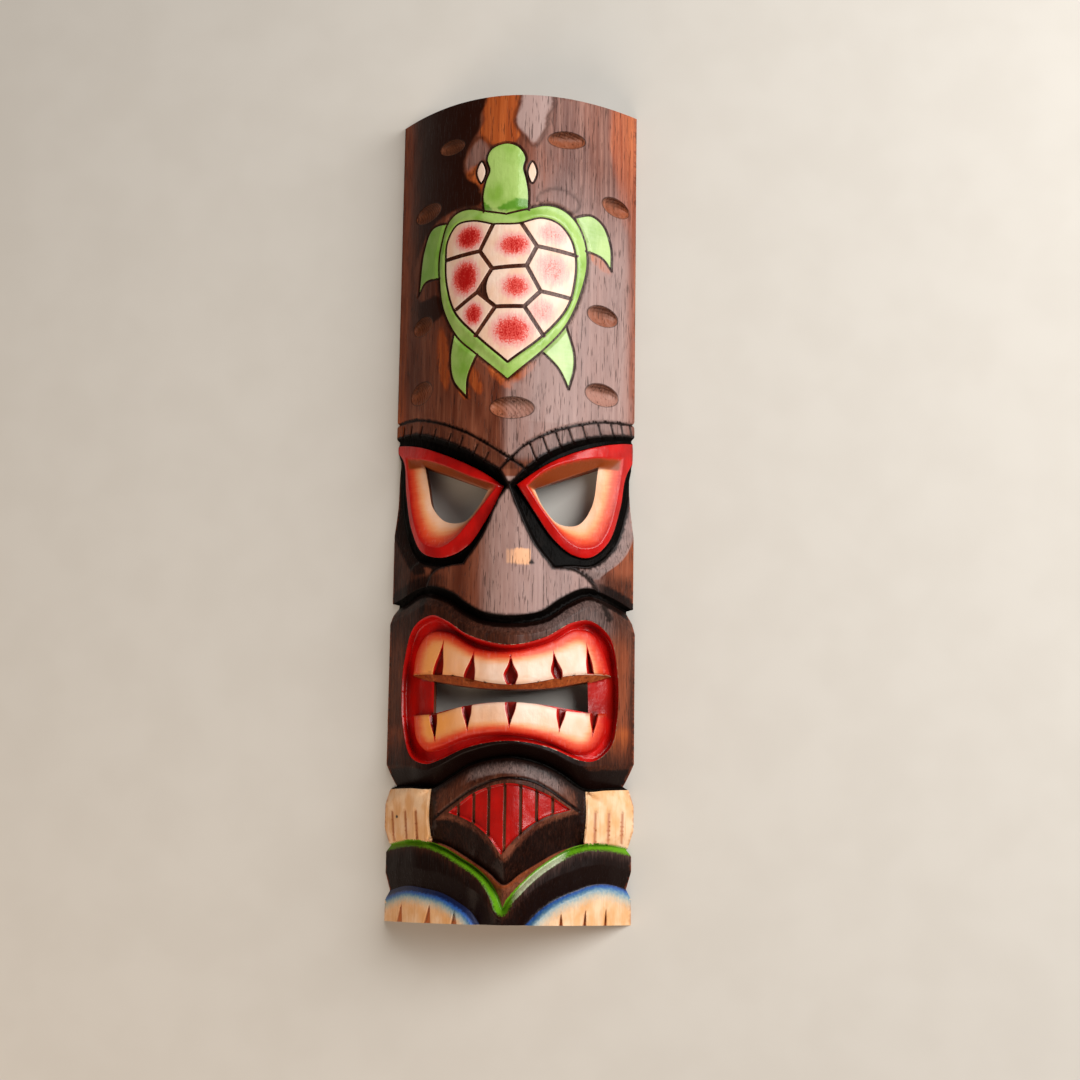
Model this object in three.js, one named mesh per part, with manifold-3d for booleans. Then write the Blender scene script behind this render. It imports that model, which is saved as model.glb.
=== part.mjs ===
// A long tiki mask carved from one half log. Millimetres, lying face up: +X to the right as the face is
// seen, +Y to its top, +Z out of the face. Places are measured from the middle of the foot.
import * as THREE from 'three';
import { mergeVertices } from 'three/addons/utils/BufferGeometryUtils.js';
import Module from 'manifold-3d';

// Driving sizes of the half log
const maskHeight = 500;
const halfWidth = 75.2;
const logDepth = 51;
const topSlant = 0.024;
const archFacets = 18;

// Depths of the carving below the log's round, at its middle
const faceDepth = 2;
const browDrop = 12;
const rimDepth = 9;
const ridgeDepth = 7;
const eyeFloor = 19;
const recessDepth = 13;
const teethDepth = 6;
const lipDepth = 9;
const chinDepth = 12;
const scoopDepth = 3.5;

// Hollow in the back
const hollowHalfWidth = 56;
const hollowDepth = 27;
const hollowEnd = 34;

// A cut reaches from well above the log to well below it, and lines at the sides run past its edge
const above = 70;
const below = -10;
const past = 90;

// A sloping cut starts this far above the ground it leaves, so that its edge is a clean line
const skim = 0.6;

// How far a cut at the edge of the log moves in, as a share of its depth: the eyes keep a thick edge
const edgeShare = 0.6;
const eyeShare = 0.25;

const wasm = await Module();
wasm.setup();

// Height of the log's round at x once its middle is taken down by depth and its edges by a share of that
function level(x, depth, share = edgeShare) {
  const reach = halfWidth - share * depth;
  return (logDepth - depth) * (1 - (x / reach) ** 2);
}

function toSolid(geometry) {
  geometry.deleteAttribute('normal');
  geometry.deleteAttribute('uv');
  const merged = mergeVertices(geometry, 1e-4);
  return new wasm.Manifold(new wasm.Mesh({
    numProp: 3,
    vertProperties: new Float32Array(merged.attributes.position.array),
    triVerts: new Uint32Array(merged.index.array),
  }));
}

// Points along a smooth run through a few given points
function run(points, steps = 2) {
  const curve = new THREE.CatmullRomCurve3(points.map(([x, y]) => new THREE.Vector3(x, y, 0)));
  return curve.getPoints(steps * (points.length - 1)).map((p) => new THREE.Vector2(p.x, p.y));
}

// Closed outline of smooth runs that meet in corners
function outline(...runs) {
  return runs.flatMap((points) => run(points).slice(0, -1));
}

// Closed smooth outline without a corner
function roundOutline(points, steps = 2) {
  const places = points.map(([x, y]) => new THREE.Vector3(x, y, 0));
  const curve = new THREE.CatmullRomCurve3(places, true);
  return curve.getPoints(steps * points.length).slice(0, -1).map((p) => new THREE.Vector2(p.x, p.y));
}

// A run cut into equal steps, so that two runs can be paired point by point
function evenly(points, count) {
  const path = new THREE.CurvePath();
  for (let i = 1; i < points.length; i += 1) {
    path.add(new THREE.LineCurve(points[i - 1], points[i]));
  }
  return path.getSpacedPoints(count);
}

function prism(points, low = below, high = above) {
  const geometry = new THREE.ExtrudeGeometry(new THREE.Shape(points), {
    depth: high - low,
    bevelEnabled: false,
  });
  return toSolid(geometry.translate(0, 0, low));
}

// All that lies under the log's round taken down by depth
function under(depth, share = edgeShare) {
  const reach = halfWidth - share * depth;
  const spread = 1.1;
  const deep = -60;
  const profile = [new THREE.Vector2(reach, deep), new THREE.Vector2(-reach, deep)];
  for (let i = 0; i <= archFacets; i += 1) {
    const x = reach * Math.sin(spread * (2 * i / archFacets - 1)) / Math.sin(spread);
    profile.push(new THREE.Vector2(x, level(x, depth, share)));
  }
  const geometry = new THREE.ExtrudeGeometry(new THREE.Shape(profile.reverse()), {
    depth: 2 * maskHeight,
    bevelEnabled: false,
  });
  geometry.rotateX(Math.PI / 2);
  return toSolid(geometry.translate(0, 1.5 * maskHeight, 0));
}

// What has to go for the ground inside an outline to lie at depth
function recess(points, depth, share = edgeShare) {
  return prism(points).subtract(under(depth, share));
}

// Strips of faces between rings of points. Each ring lies at its own depth below the round or, where
// it has a height, at that height.
function strips(rings, closed, wrapped) {
  const count = rings[0].points.length;
  const position = [];
  const index = [];
  for (const ring of rings) {
    for (const p of ring.points) {
      position.push(p.x, p.y, ring.height ?? level(p.x, ring.depth, ring.share));
    }
  }
  for (let r = 0; r < rings.length - (wrapped ? 0 : 1); r += 1) {
    const here = r * count;
    const next = (r + 1) % rings.length * count;
    for (let i = 0; i < count - (closed ? 0 : 1); i += 1) {
      const j = (i + 1) % count;
      index.push(here + i, next + i, next + j, here + i, next + j, here + j);
    }
  }
  return { position, index, count };
}

function stripSolid({ position, index }) {
  const geometry = new THREE.BufferGeometry();
  geometry.setAttribute('position', new THREE.Float32BufferAttribute(position, 3));
  geometry.setIndex(index);
  return toSolid(geometry);
}

// A cut whose floor passes through rows of points, from the right of the run to its left
function carve(rows, closed = false) {
  const first = { points: rows[0].points, height: above };
  const last = { points: rows[rows.length - 1].points, height: above };
  const rings = [first, ...rows, last];
  const mesh = strips(rings, closed, true);
  if (!closed) {
    const end = mesh.count - 1;
    for (let r = 1; r < rings.length - 1; r += 1) {
      const here = r * mesh.count;
      const next = here + mesh.count;
      mesh.index.push(0, next, here);
      mesh.index.push(end, here + end, next + end);
    }
  }
  return stripSolid(mesh);
}

// A bowl that is cut right through: closed rows from its rim inward
function bowl(rows) {
  const last = rows[rows.length - 1].points;
  const top = { points: rows[0].points, height: above };
  const mesh = strips([top, ...rows, { points: last, height: below }], true, false);
  const floor = mesh.position.length / 3 - mesh.count;
  for (const [a, b, c] of THREE.ShapeUtils.triangulateShape(rows[0].points, [])) {
    mesh.index.push(a, b, c);
  }
  for (const [a, b, c] of THREE.ShapeUtils.triangulateShape(last, [])) {
    mesh.index.push(floor + a, floor + c, floor + b);
  }
  return stripSolid(mesh);
}

// The same run moved sideways: to its left for a positive distance
function beside(points, distance, closed = false) {
  const count = points.length;
  return points.map((p, i) => {
    const before = closed ? points[(i + count - 1) % count] : points[Math.max(i - 1, 0)];
    const after = closed ? points[(i + 1) % count] : points[Math.min(i + 1, count - 1)];
    const along = after.clone().sub(before).normalize();
    return new THREE.Vector2(p.x - along.y * distance, p.y + along.x * distance);
  });
}

// A groove along a run; its two sides may slope differently
function groove(points, depth, left, right = left, ground = faceDepth, closed = false) {
  return carve([
    { points: beside(points, -right, closed), depth: ground - skim },
    { points, depth: ground + depth },
    { points: beside(points, left, closed), depth: ground - skim },
  ], closed);
}

// A straight groove between two places
function cut(from, to, depth, half, ground = faceDepth) {
  const points = evenly([new THREE.Vector2(...from), new THREE.Vector2(...to)], 2);
  return groove(points, depth, half, half, ground);
}

// A spoon shaped gouge mark lying on the round
function scoop(x, y, length, width, turn) {
  const slope = Math.atan(2 * (logDepth - faceDepth) * x / halfWidth ** 2);
  const ball = new THREE.SphereGeometry(1, 10, 7);
  ball.scale(length / 2, width / 2, scoopDepth);
  ball.rotateZ(THREE.MathUtils.degToRad(turn));
  ball.rotateY(slope);
  return toSolid(ball.translate(x, y, level(x, faceDepth)));
}

// Outlines of the face, in pairs of sideways and upward places
const browTop = {
  left: run([[-80, 304], [-61, 304], [-48, 300.5], [-25, 290.5], [-3, 277], [12, 267]]),
  right: run([[80, 304], [56, 301], [32, 293], [12, 282.5], [4, 275], [-5, 265.5]]),
};
const browFoot = {
  left: run([[-80, 295], [-61, 294.5], [-48, 290.5], [-25, 279.5], [-13.5, 272], [-4, 266]]),
  right: run([[80, 296.5], [61, 293], [42, 286.5], [23, 276], [12, 267]]),
};
// Where each notch of a brow meets its foot. On the left they start half way down the band.
const notchPlaces = {
  left: [-13, -20, -29, -36.5, -46.5, -56, -63.5, -69],
  right: [18, 25, 32, 39, 46.5, 55, 62, 67.5, 72.5],
};
const notchLean = { middle: 4.6, side: 1.4 };
const eyeRim = {
  left: outline(
    [[-80, 292], [-61, 288], [-36, 277.5], [-14, 266], [-1.5, 257.5]].reverse(),
    [[-80, 292], [-69, 281], [-66, 258.5], [-61.5, 236], [-53, 220.5], [-38.5, 216.5], [-24, 222],
      [-13.5, 235.5], [-1.5, 257.5]],
  ),
  right: outline(
    [[6, 258.5], [17, 242], [27.5, 227], [39, 218], [49, 217.5], [59.5, 228], [66, 249.5], [69.5, 271],
      [80, 292]],
    [[80, 292], [66, 290], [42.5, 281.5], [23, 271], [6, 258.5]],
  ),
};
const eyeRidge = {
  left: outline(
    [[-5, 258], [-20, 263.5], [-44.5, 275], [-67.5, 283]],
    [[-67.5, 283], [-64.5, 266], [-61, 245], [-53.5, 227], [-42, 222.5], [-32, 227], [-25, 234], [-5, 258]],
  ),
  right: outline(
    [[12, 258], [23.5, 241], [34, 228], [43, 222.5], [53, 225], [60, 237], [65.5, 263], [68, 282]],
    [[68, 282], [43, 276.5], [23, 268], [12, 258]],
  ),
};
const eyeHole = {
  left: outline(
    [[-12.5, 257.5], [-26, 263], [-54, 275.5]],
    [[-54, 275.5], [-51, 262], [-48, 249], [-39, 239.5], [-27, 239], [-19, 247], [-12.5, 257.5]],
  ),
  right: outline(
    [[15.5, 258], [21, 247], [30, 237.5], [41, 237.5], [49, 249], [53, 274.5]],
    [[53, 274.5], [36, 266.5], [15.5, 258]],
  ),
};
const socket = {
  left: outline(
    [[-4, 266.5], [-13.5, 272], [-25, 279.5], [-48, 290.5], [-61, 294.5], [-80, 295]],
    [[-80, 295], [-71.5, 279], [-69, 250], [-64, 230], [-55, 215], [-42, 211], [-25, 212]],
    [[-25, 212], [-14, 227.5], [-4, 250], [1.5, 257]],
    [[1.5, 257], [-4, 266.5]],
  ),
  right: outline(
    [[2.5, 257], [8, 243.5], [18, 222.5], [28.5, 209.5]],
    [[28.5, 209.5], [39, 211], [50, 212], [62, 224], [69, 247], [72, 268], [80, 296.5]],
    [[80, 296.5], [61, 293], [42, 286.5], [23, 276], [12, 267]],
    [[12, 267], [2.5, 257]],
  ),
};
// The cheek falls away beside each eye, and below it to the wing of the nose
const cheekDrop = 5;
const cheekReach = 8;
const cheek = {
  left: run([[-80, 295], [-71.5, 279], [-69, 250], [-64, 230], [-55, 215]]),
  right: run([[50, 212], [62, 224], [69, 247], [72, 268], [80, 296.5]]),
};
const wing = {
  left: run([[-25, 212], [-34, 211.5], [-43, 209.5], [-48, 205], [-50.5, 196]]),
  right: run([[28.5, 209.5], [38, 209.5], [45.5, 206.5], [50.5, 202], [55, 195]]),
};
const wingDrop = 5;
const wingReach = 13;
const lipLine = run([[-82, 187], [-66, 191], [-51, 196.5], [-34.5, 192], [-24, 184.5], [-13, 178.5], [5, 176],
  [23, 179.5], [36, 189], [48, 195], [62, 191], [82, 180]]);

// Mouth
const mouth = roundOutline([[-45, 181], [-57, 175], [-63.5, 155], [-65, 135], [-63, 113], [-57, 97],
  [-47, 92.5], [-38, 94.5], [-19, 102], [5, 105.5], [27, 102.5], [45, 95.5], [53, 95.5], [62, 104],
  [65.5, 120], [65.5, 150], [61, 170], [50, 178.5], [40, 176.5], [24, 166.5], [4, 161.5], [-20, 167.5],
  [-35, 177]]);
const upperTeeth = outline(
  [[-58.5, 147], [-31, 145], [-11, 140.5], [5, 139], [20, 141], [40, 146], [61, 147.5]],
  [[61, 147.5], [57, 161], [50, 172], [41, 173.5], [26, 165], [5.5, 159], [-16, 161], [-34, 171],
    [-48, 171.5], [-56, 161], [-58.5, 147]],
);
const lowerTeeth = outline(
  [[59, 124.5], [40, 124.5], [17, 128.5], [0, 129], [-26, 126.5], [-41, 123], [-57.5, 122.5]],
  [[-57.5, 122.5], [-55, 108], [-47.5, 100.5], [-39.5, 101.5], [-19, 108], [4, 109.5], [25, 106], [43, 99.5],
    [52, 102], [58, 112], [59, 124.5]],
);
const mouthHole = outline(
  [[-44, 123], [-20, 127.5], [0, 129], [17, 128.5], [48.5, 124.5]],
  [[48.5, 124.5], [48, 143]],
  [[48, 143], [27, 138], [4, 136.5], [-19, 138], [-44, 142.5]],
  [[-44, 142.5], [-44, 123]],
);
// Each gap between teeth: its point, its mouth, its width and how much of that is left at the mouth
const toothGaps = [
  [-37.2, 166.8, -41.3, 145.5, 6.8, 1],
  [-17.6, 159.5, -21.3, 141, 7.8, 0.95],
  [4.5, 157.2, 4.7, 139, 8.6, 0.6],
  [28.6, 160.7, 31.8, 142.3, 6.6, 0.6],
  [47.4, 166.5, 50, 147.5, 4.4, 0.9],
  [-41.6, 104.8, -43.5, 122.5, 5.6, 1],
  [-21, 111, -21.9, 127, 6.8, 1],
  [4.2, 112.5, 4.9, 129, 7.2, 1],
  [32.6, 110.9, 33.8, 125.2, 5.6, 1],
  [51.5, 109.3, 52.2, 124.5, 4.8, 1],
];

// Below the mouth
const chinLine = run([[-82, 80], [-58, 80], [-43, 79.5], [-30, 86.5], [-18, 93], [5, 97], [24, 93], [34, 88],
  [48, 79], [60, 80], [82, 82]]);
const frameFoot = run([[-82, 94], [-58, 92], [-46, 89], [-19, 99.5], [5, 104], [27, 100], [45, 92], [60, 93],
  [82, 96]]);
const bellyTop = run([[-43, 79], [-30, 86], [-18, 92.5], [5, 96.5], [24, 92.5], [34, 87.5], [48, 78.5]]);
const handInner = {
  left: run([[-43, 79], [-44, 62], [-42, 47]]),
  right: run([[47, 46], [48.5, 62], [48, 78.5]]),
};
const leafTop = run([[-40, 61], [-27, 70.5], [-17, 77], [-5, 82], [6, 84], [17.5, 83], [28, 78], [44.5, 66]]);
const leafFoot = run([[-40, 61], [-30, 60.5], [-22, 58], [-13, 53], [-4.5, 45], [2.5, 37], [8, 43.5],
  [16, 51.5], [24, 58], [34, 62.5], [44.5, 66]]);
const leafRed = outline(
  [[-31, 64], [-19, 59.5], [-8, 52], [1.5, 40]],
  [[1.5, 40], [11, 51], [24, 61], [40.5, 66.5]],
  [[40.5, 66.5], [26, 75.5], [6, 81], [-14, 76], [-31, 64]],
);
const stripePlaces = [-25, -15.5, -6.5, 3, 12, 21, 30];
const leafDepth = 2.4;
const legFold = run([[-43, 48.5], [-30, 44], [-17.5, 37], [-6.5, 30], [2.5, 23], [11, 29], [21, 35.5],
  [33, 42.5], [47, 47.5]]);
const greenLine = run([[-82, 43], [-60, 47.5], [-47, 47], [-35, 43.5], [-24, 37.5], [-14, 31.5], [-7, 25],
  [-2, 17], [2, 8.5], [5, 14], [11, 21], [20, 30], [30, 37.5], [41, 44], [50, 46.5], [61, 46.5], [82, 42]]);
const greenMiddle = run([[-43, 46.5], [-35, 43.5], [-24, 37.5], [-14, 31.5], [-7, 25], [-2, 17], [2, 8.5],
  [5, 14], [11, 21], [20, 30], [30, 37.5], [41, 44], [47, 46]]);
const footTop = {
  left: run([[-82, 14], [-60, 21], [-47, 20], [-35, 17.5], [-25.5, 13], [-17, 7.5], [-9, -3]]),
  right: run([[82, 16], [63, 23.5], [53, 23.5], [43, 20], [32, 15], [23.5, 9], [12, -3]]),
};
// Each cut between the toes: its point, and its left and right corner on the ground
const toes = [
  [-61.4, 11.8, -65, -60.4],
  [-42.1, 11.9, -45.9, -41.2],
  [-26.4, 8, -28.6, -24.5],
  [35.4, 8.4, 34.2, 36.4],
  [49.1, 11.8, 47.2, 49.2],
  [60.4, 13.2, 58.8, 60.6],
];
const toeDrop = 3.4;
const fingerPlaces = [-69.5, -60, -52.5, 53.5, 61, 68.5];
const fingerFoot = 47;
const fingerTop = 66;
const fingerLean = 1;
// Each hand rounds off at its outer corners, which lie to the right of these lines
const handCorners = [
  [[-46, 82], [-84, 66]],
  [[-84, 59], [-46, 44]],
  [[84, 66], [46, 82]],
  [[46, 44], [84, 59]],
];
const handDrop = 8.5;
const handReach = 13;

// Turtle on the forehead
const shell = {
  crown: run([[-2.5, 424.5], [-15, 427], [-26, 430], [-34, 429], [-40, 424], [-44, 412], [-45.5, 402],
    [-45, 388], [-42, 370], [-32, 350.5], [-20, 339], [0, 322]]),
  side: run([[0, 322], [21.5, 341.5], [33, 356], [40, 372], [45, 392], [45.5, 402], [44, 412], [39, 423],
    [31, 429.5], [21.5, 431], [9.5, 427.5], [-2.5, 424.5]]),
};
const shellInner = {
  crown: run([[-10.5, 418.5], [-24, 422], [-34, 421], [-40, 412], [-41, 400], [-40, 385], [-34, 366],
    [-19, 349], [0, 332]]),
  side: run([[0, 332], [20, 348.5], [34.5, 368], [39, 387], [39, 402], [36, 412], [29, 420], [19, 422.5],
    [5, 418.5], [-10.5, 418.5]]),
};
const scuteNodes = {
  a: [-10.5, 418], b: [-18.5, 402], c: [-40.5, 400], d: [-10.5, 390.5], e: [10.5, 392], f: [16.5, 404.5],
  g: [7, 418.5], h: [39.5, 401.5], i: [-19.5, 376.5], j: [-33, 367.5], k: [-8, 366.5], l: [9.5, 366.5],
  m: [19, 376.5], n: [36.5, 374], o: [-20, 349.5], p: [21, 349],
};
const scuteLines = ['ab', 'bc', 'bd', 'de', 'ef', 'fg', 'fh', 'di', 'em', 'ij', 'ik', 'kl', 'lm', 'mn',
  'ko', 'lp'];
const head = run([[-16.5, 427], [-17.3, 437], [-15.6, 446], [-13.3, 452.6], [-15.2, 460], [-12.3, 466.3],
  [-3, 469.5], [5, 466.8], [9, 460.4], [7.8, 453.8], [9.6, 446.5], [11, 438], [11, 427]]);
const flippers = [
  run([[-40, 424], [-51, 423], [-57, 410], [-60, 383]]),
  run([[-60, 383], [-55, 389.5], [-45, 390]]),
  run([[39, 426], [48, 429], [55, 424.5], [59.5, 412], [60, 397]]),
  run([[60, 397], [54.5, 403.5], [45, 406]]),
  run([[-34.5, 353], [-36.5, 337], [-34, 323], [-25, 311.5]]),
  run([[-25, 311.5], [-24.5, 324], [-19, 338]]),
  run([[34, 357], [39, 340], [39, 330], [36, 317.5]]),
  run([[36, 317.5], [30, 329.5], [20.5, 339]]),
];
const turtleEyes = [[-18.5, 452, 6.2, 14], [13, 451, 5.8, 14]];
// Gouge marks: place, length, width and turn
const gouges = [[33, 474, 26, 11, 6], [-38, 472, 21, 10, 0], [-54, 434, 26, 12, 6],
  [62, 438.5, 24, 12, -6], [55, 367, 25, 13, -3], [-56, 362, 20, 12, 8], [-56, 319.5, 22, 14, 10],
  [55, 317.5, 27, 14, -2], [3, 304, 27, 13.5, 0]];

const vectors = (points) => points.map((p) => new THREE.Vector2(...p));

// The log sawn to length, its front planed above the mouth and below the hands
function makeLog() {
  const ends = [[-past, 0], [past, 0], [past, maskHeight + past * topSlant],
    [-past, maskHeight - past * topSlant]];
  const face = [...lipLine, ...vectors([[past, maskHeight + past], [-past, maskHeight + past]])];
  const legs = [...vectors([[-past, -past], [past, -past]]), ...[...greenLine].reverse()];
  return under(0).intersect(prism(vectors(ends), 0))
    .subtract(recess(face, faceDepth))
    .subtract(recess(legs, faceDepth));
}

function carveForehead(body) {
  let wood = body;
  for (const [x, y, length, width, turn] of gouges) {
    wood = wood.subtract(scoop(x, y, length, width, turn));
  }
  for (const line of [shell.crown, shell.side]) {
    wood = wood.subtract(groove(evenly(line, 14), 2, 0.8, 3));
  }
  for (const line of [shellInner.crown, shellInner.side]) {
    wood = wood.subtract(groove(evenly(line, 10), 1.2, 1));
  }
  for (const [from, to] of scuteLines) {
    wood = wood.subtract(cut(scuteNodes[from], scuteNodes[to], 1.2, 1));
  }
  wood = wood.subtract(groove(evenly(head, 14), 1.6, 1.2, 0.8));
  for (const line of flippers) {
    wood = wood.subtract(groove(evenly(line, 6), 1.6, 1));
  }
  for (const [x, y, width, length] of turtleEyes) {
    const ring = roundOutline([[x, y + length / 2], [x - width / 2, y], [x, y - length / 2],
      [x + width / 2, y]]);
    wood = wood.subtract(groove(ring, 1.2, 0.9, 0.9, faceDepth, true));
  }
  return wood;
}

// Upward place of a run where it passes x
function heightAt(points, x) {
  const next = points.findIndex((p, i) => i > 0 && (p.x - x) * (points[i - 1].x - x) <= 0);
  const [a, b] = [points[next - 1], points[next]];
  return a.y + (b.y - a.y) * (x - a.x) / (b.x - a.x);
}

function carveBrow(body, side) {
  let wood = body.subtract(groove(evenly(browTop[side], 16), 2.2, 1.4));
  for (const x of notchPlaces[side]) {
    const lean = THREE.MathUtils.mapLinear(Math.abs(x), 15, 70, notchLean.middle, notchLean.side);
    const topX = x - Math.sign(x) * lean;
    const top = new THREE.Vector2(topX, heightAt(browTop[side], topX));
    const foot = new THREE.Vector2(x, heightAt(browFoot[side], x));
    const start = side === 'left' ? top.lerp(foot, 0.45) : top;
    wood = wood.subtract(cut(start.toArray(), foot.toArray(), 1.8, 1.1));
  }
  return wood;
}

function carveEye(body, side) {
  const ring = (points) => evenly([...points, points[0]], 32).slice(0, -1);
  const rim = ring(eyeRim[side]);
  const eye = bowl([
    { points: rim, depth: rimDepth, share: eyeShare },
    { points: ring(eyeRidge[side]), depth: ridgeDepth, share: eyeShare },
    { points: ring(eyeHole[side]), depth: eyeFloor, share: eyeShare },
  ]);
  const ground = recess(socket[side], browDrop, eyeShare).subtract(prism(rim));
  const fall = groove(evenly(cheek[side], 8), cheekDrop, 1.6, cheekReach);
  return body.subtract(ground.add(eye)).subtract(fall);
}

// The nose wings stand a step above the cheeks, which fall away from them, and a deep channel runs below
function carveNose(body) {
  const line = evenly(lipLine, 26);
  return body
    .subtract(groove(evenly(wing.left, 8), wingDrop, 1, wingReach))
    .subtract(groove(evenly(wing.right, 8), wingDrop, wingReach, 1))
    .subtract(carve([
      { points: beside(line, -9), depth: -skim },
      { points: beside(line, -4.5), depth: 3 },
      { points: beside(line, -1), depth: lipDepth },
      { points: beside(line, 1.5), depth: lipDepth },
      { points: beside(line, 3), depth: faceDepth - skim },
    ]));
}

// A gap widens from its point and may close again before its mouth, which it runs a little past
function gapOutline([tipX, tipY, x, y, width, left]) {
  const tip = new THREE.Vector2(tipX, tipY);
  const end = new THREE.Vector2(x, y);
  const rows = [[0.35, 0.16], [0.7, left < 0.8 ? 0.5 : 0.42], [1.12, 0.5 * left]];
  const side = (sign) => rows.map(([share, half]) => {
    const place = tip.clone().lerp(end, share);
    return place.setX(place.x + sign * half * width);
  });
  const corners = [tip, ...side(-1), ...side(1).reverse()];
  return tipY > y ? corners : corners.reverse();
}

function carveMouth(body) {
  const blocks = prism(upperTeeth).add(prism(lowerTeeth)).intersect(under(teethDepth));
  let wood = body.subtract(recess(mouth, recessDepth).subtract(blocks));
  for (const gap of toothGaps) {
    wood = wood.subtract(recess(gapOutline(gap), recessDepth - 1));
  }
  return wood.subtract(prism(mouthHole));
}

// The frame of the mouth slopes down to a channel above the hands and the belly
function carveChin(body) {
  const line = evenly(chinLine, 26);
  const foot = evenly(frameFoot, 26);
  const belly = evenly(bellyTop, 14);
  return body
    .subtract(carve([
      { points: beside(line, -1.5), depth: -skim },
      { points: line, depth: chinDepth },
      { points: beside(line, 3), depth: chinDepth - 1 },
      { points: foot, depth: -skim },
    ]))
    .subtract(carve([
      { points: beside(belly, -12), depth: skim },
      { points: beside(belly, 1), depth: 7 },
    ]));
}

function carveBelly(body) {
  const fold = evenly(legFold, 20);
  const green = evenly(greenMiddle, 20);
  let wood = body
    .subtract(carve([
      { points: fold, depth: 8 },
      { points: evenly(leafFoot, 20), depth: 2 },
    ]))
    .subtract(carve([
      { points: green, depth: 9 },
      { points: beside(fold, -1), depth: 3.5 },
    ]))
    .subtract(groove(evenly(leafTop, 16), 1.6, 1.2, 1.2, 1));
  for (const points of [handInner.left, handInner.right]) {
    wood = wood.subtract(groove(evenly(points, 4), 3, 6, 1, 1));
  }
  wood = wood.subtract(recess(leafRed, leafDepth));
  for (const x of stripePlaces) {
    wood = wood.subtract(cut([x, 30], [x, 90], 1.4, 0.9, leafDepth).intersect(prism(leafRed)));
  }
  for (const x of fingerPlaces) {
    wood = wood.subtract(cut([x, fingerFoot], [x + Math.sign(x) * fingerLean, fingerTop], 1.6, 1, 0));
  }
  const hands = prism([...[...greenLine], ...[...chinLine].reverse()]);
  for (const ends of handCorners) {
    const line = evenly(vectors(ends), 6);
    const corner = carve([
      { points: beside(line, -handReach), depth: handDrop },
      { points: beside(line, 1), depth: -skim },
    ]);
    wood = wood.subtract(corner.intersect(hands));
  }
  return wood;
}

function carveLegs(body) {
  const green = evenly(greenLine, 32);
  let wood = body.subtract(carve([
    { points: beside(green, -3.5), depth: faceDepth - skim },
    { points: green, depth: 8 },
    { points: beside(green, 0.8), depth: -skim },
  ]));
  for (const line of [footTop.left, footTop.right.reverse()]) {
    const top = evenly(line, 12);
    wood = wood.subtract(carve([
      { points: beside(top, -4), depth: faceDepth - skim },
      { points: top, depth: 7 },
      { points: beside(top, 11), depth: faceDepth - skim },
    ]));
  }
  for (const [tipX, tipY, left, right] of toes) {
    const low = -4;
    const feet = [left, right].map((x) => [tipX + (x - tipX) * (tipY - low) / tipY, low]);
    wood = wood.subtract(recess(vectors([[tipX, tipY], ...feet]), faceDepth + toeDrop));
  }
  return wood;
}

// A plain trough in the back, open at the back only
function makeHollow() {
  const facets = 16;
  const profile = [new THREE.Vector2(hollowHalfWidth, below), new THREE.Vector2(-hollowHalfWidth, below)];
  for (let i = 0; i <= facets; i += 1) {
    const x = hollowHalfWidth * (2 * i / facets - 1);
    profile.push(new THREE.Vector2(x, hollowDepth * (1 - (x / hollowHalfWidth) ** 2)));
  }
  const geometry = new THREE.ExtrudeGeometry(new THREE.Shape(profile.reverse()), {
    depth: maskHeight - 2 * hollowEnd,
    bevelEnabled: false,
  });
  geometry.rotateX(Math.PI / 2);
  return toSolid(geometry.translate(0, maskHeight - hollowEnd, 0));
}

function makeMask() {
  let wood = carveForehead(makeLog());
  for (const side of ['left', 'right']) {
    wood = carveBrow(wood, side);
    wood = carveEye(wood, side);
  }
  wood = carveMouth(carveNose(wood));
  wood = carveLegs(carveBelly(carveChin(wood)));
  const mesh = wood.subtract(makeHollow()).getMesh();
  const geometry = new THREE.BufferGeometry();
  geometry.setAttribute('position', new THREE.BufferAttribute(mesh.vertProperties, 3));
  geometry.setIndex(new THREE.BufferAttribute(mesh.triVerts, 1));
  geometry.computeBoundingBox();
  const middle = geometry.boundingBox.getCenter(new THREE.Vector3());
  geometry.translate(-middle.x, -middle.y, -geometry.boundingBox.min.z);
  geometry.computeVertexNormals();
  const paint = new THREE.MeshStandardMaterial({ color: 0x5a2f1c, roughness: 0.4, metalness: 0 });
  const mask = new THREE.Mesh(geometry, paint);
  mask.name = 'mask';
  return mask;
}

const part = new THREE.Group();
part.add(makeMask());
export default part;
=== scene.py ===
import math

import bmesh
import bpy
import numpy as np
from mathutils import Matrix, Vector
from mathutils.geometry import delaunay_2d_cdt
from mathutils.kdtree import KDTree


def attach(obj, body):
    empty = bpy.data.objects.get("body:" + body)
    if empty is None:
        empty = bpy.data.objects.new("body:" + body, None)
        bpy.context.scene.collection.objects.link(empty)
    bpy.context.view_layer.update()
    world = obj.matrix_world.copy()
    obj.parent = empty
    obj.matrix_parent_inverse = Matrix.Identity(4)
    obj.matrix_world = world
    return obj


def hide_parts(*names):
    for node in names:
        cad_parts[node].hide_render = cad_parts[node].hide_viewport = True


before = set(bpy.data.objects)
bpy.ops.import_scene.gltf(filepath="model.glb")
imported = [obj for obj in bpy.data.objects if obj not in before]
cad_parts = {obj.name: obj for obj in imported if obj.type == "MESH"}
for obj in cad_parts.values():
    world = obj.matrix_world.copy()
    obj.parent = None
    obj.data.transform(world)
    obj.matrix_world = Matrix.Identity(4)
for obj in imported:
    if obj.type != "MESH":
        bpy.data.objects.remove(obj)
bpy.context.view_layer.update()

print("frame loaded")

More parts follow.
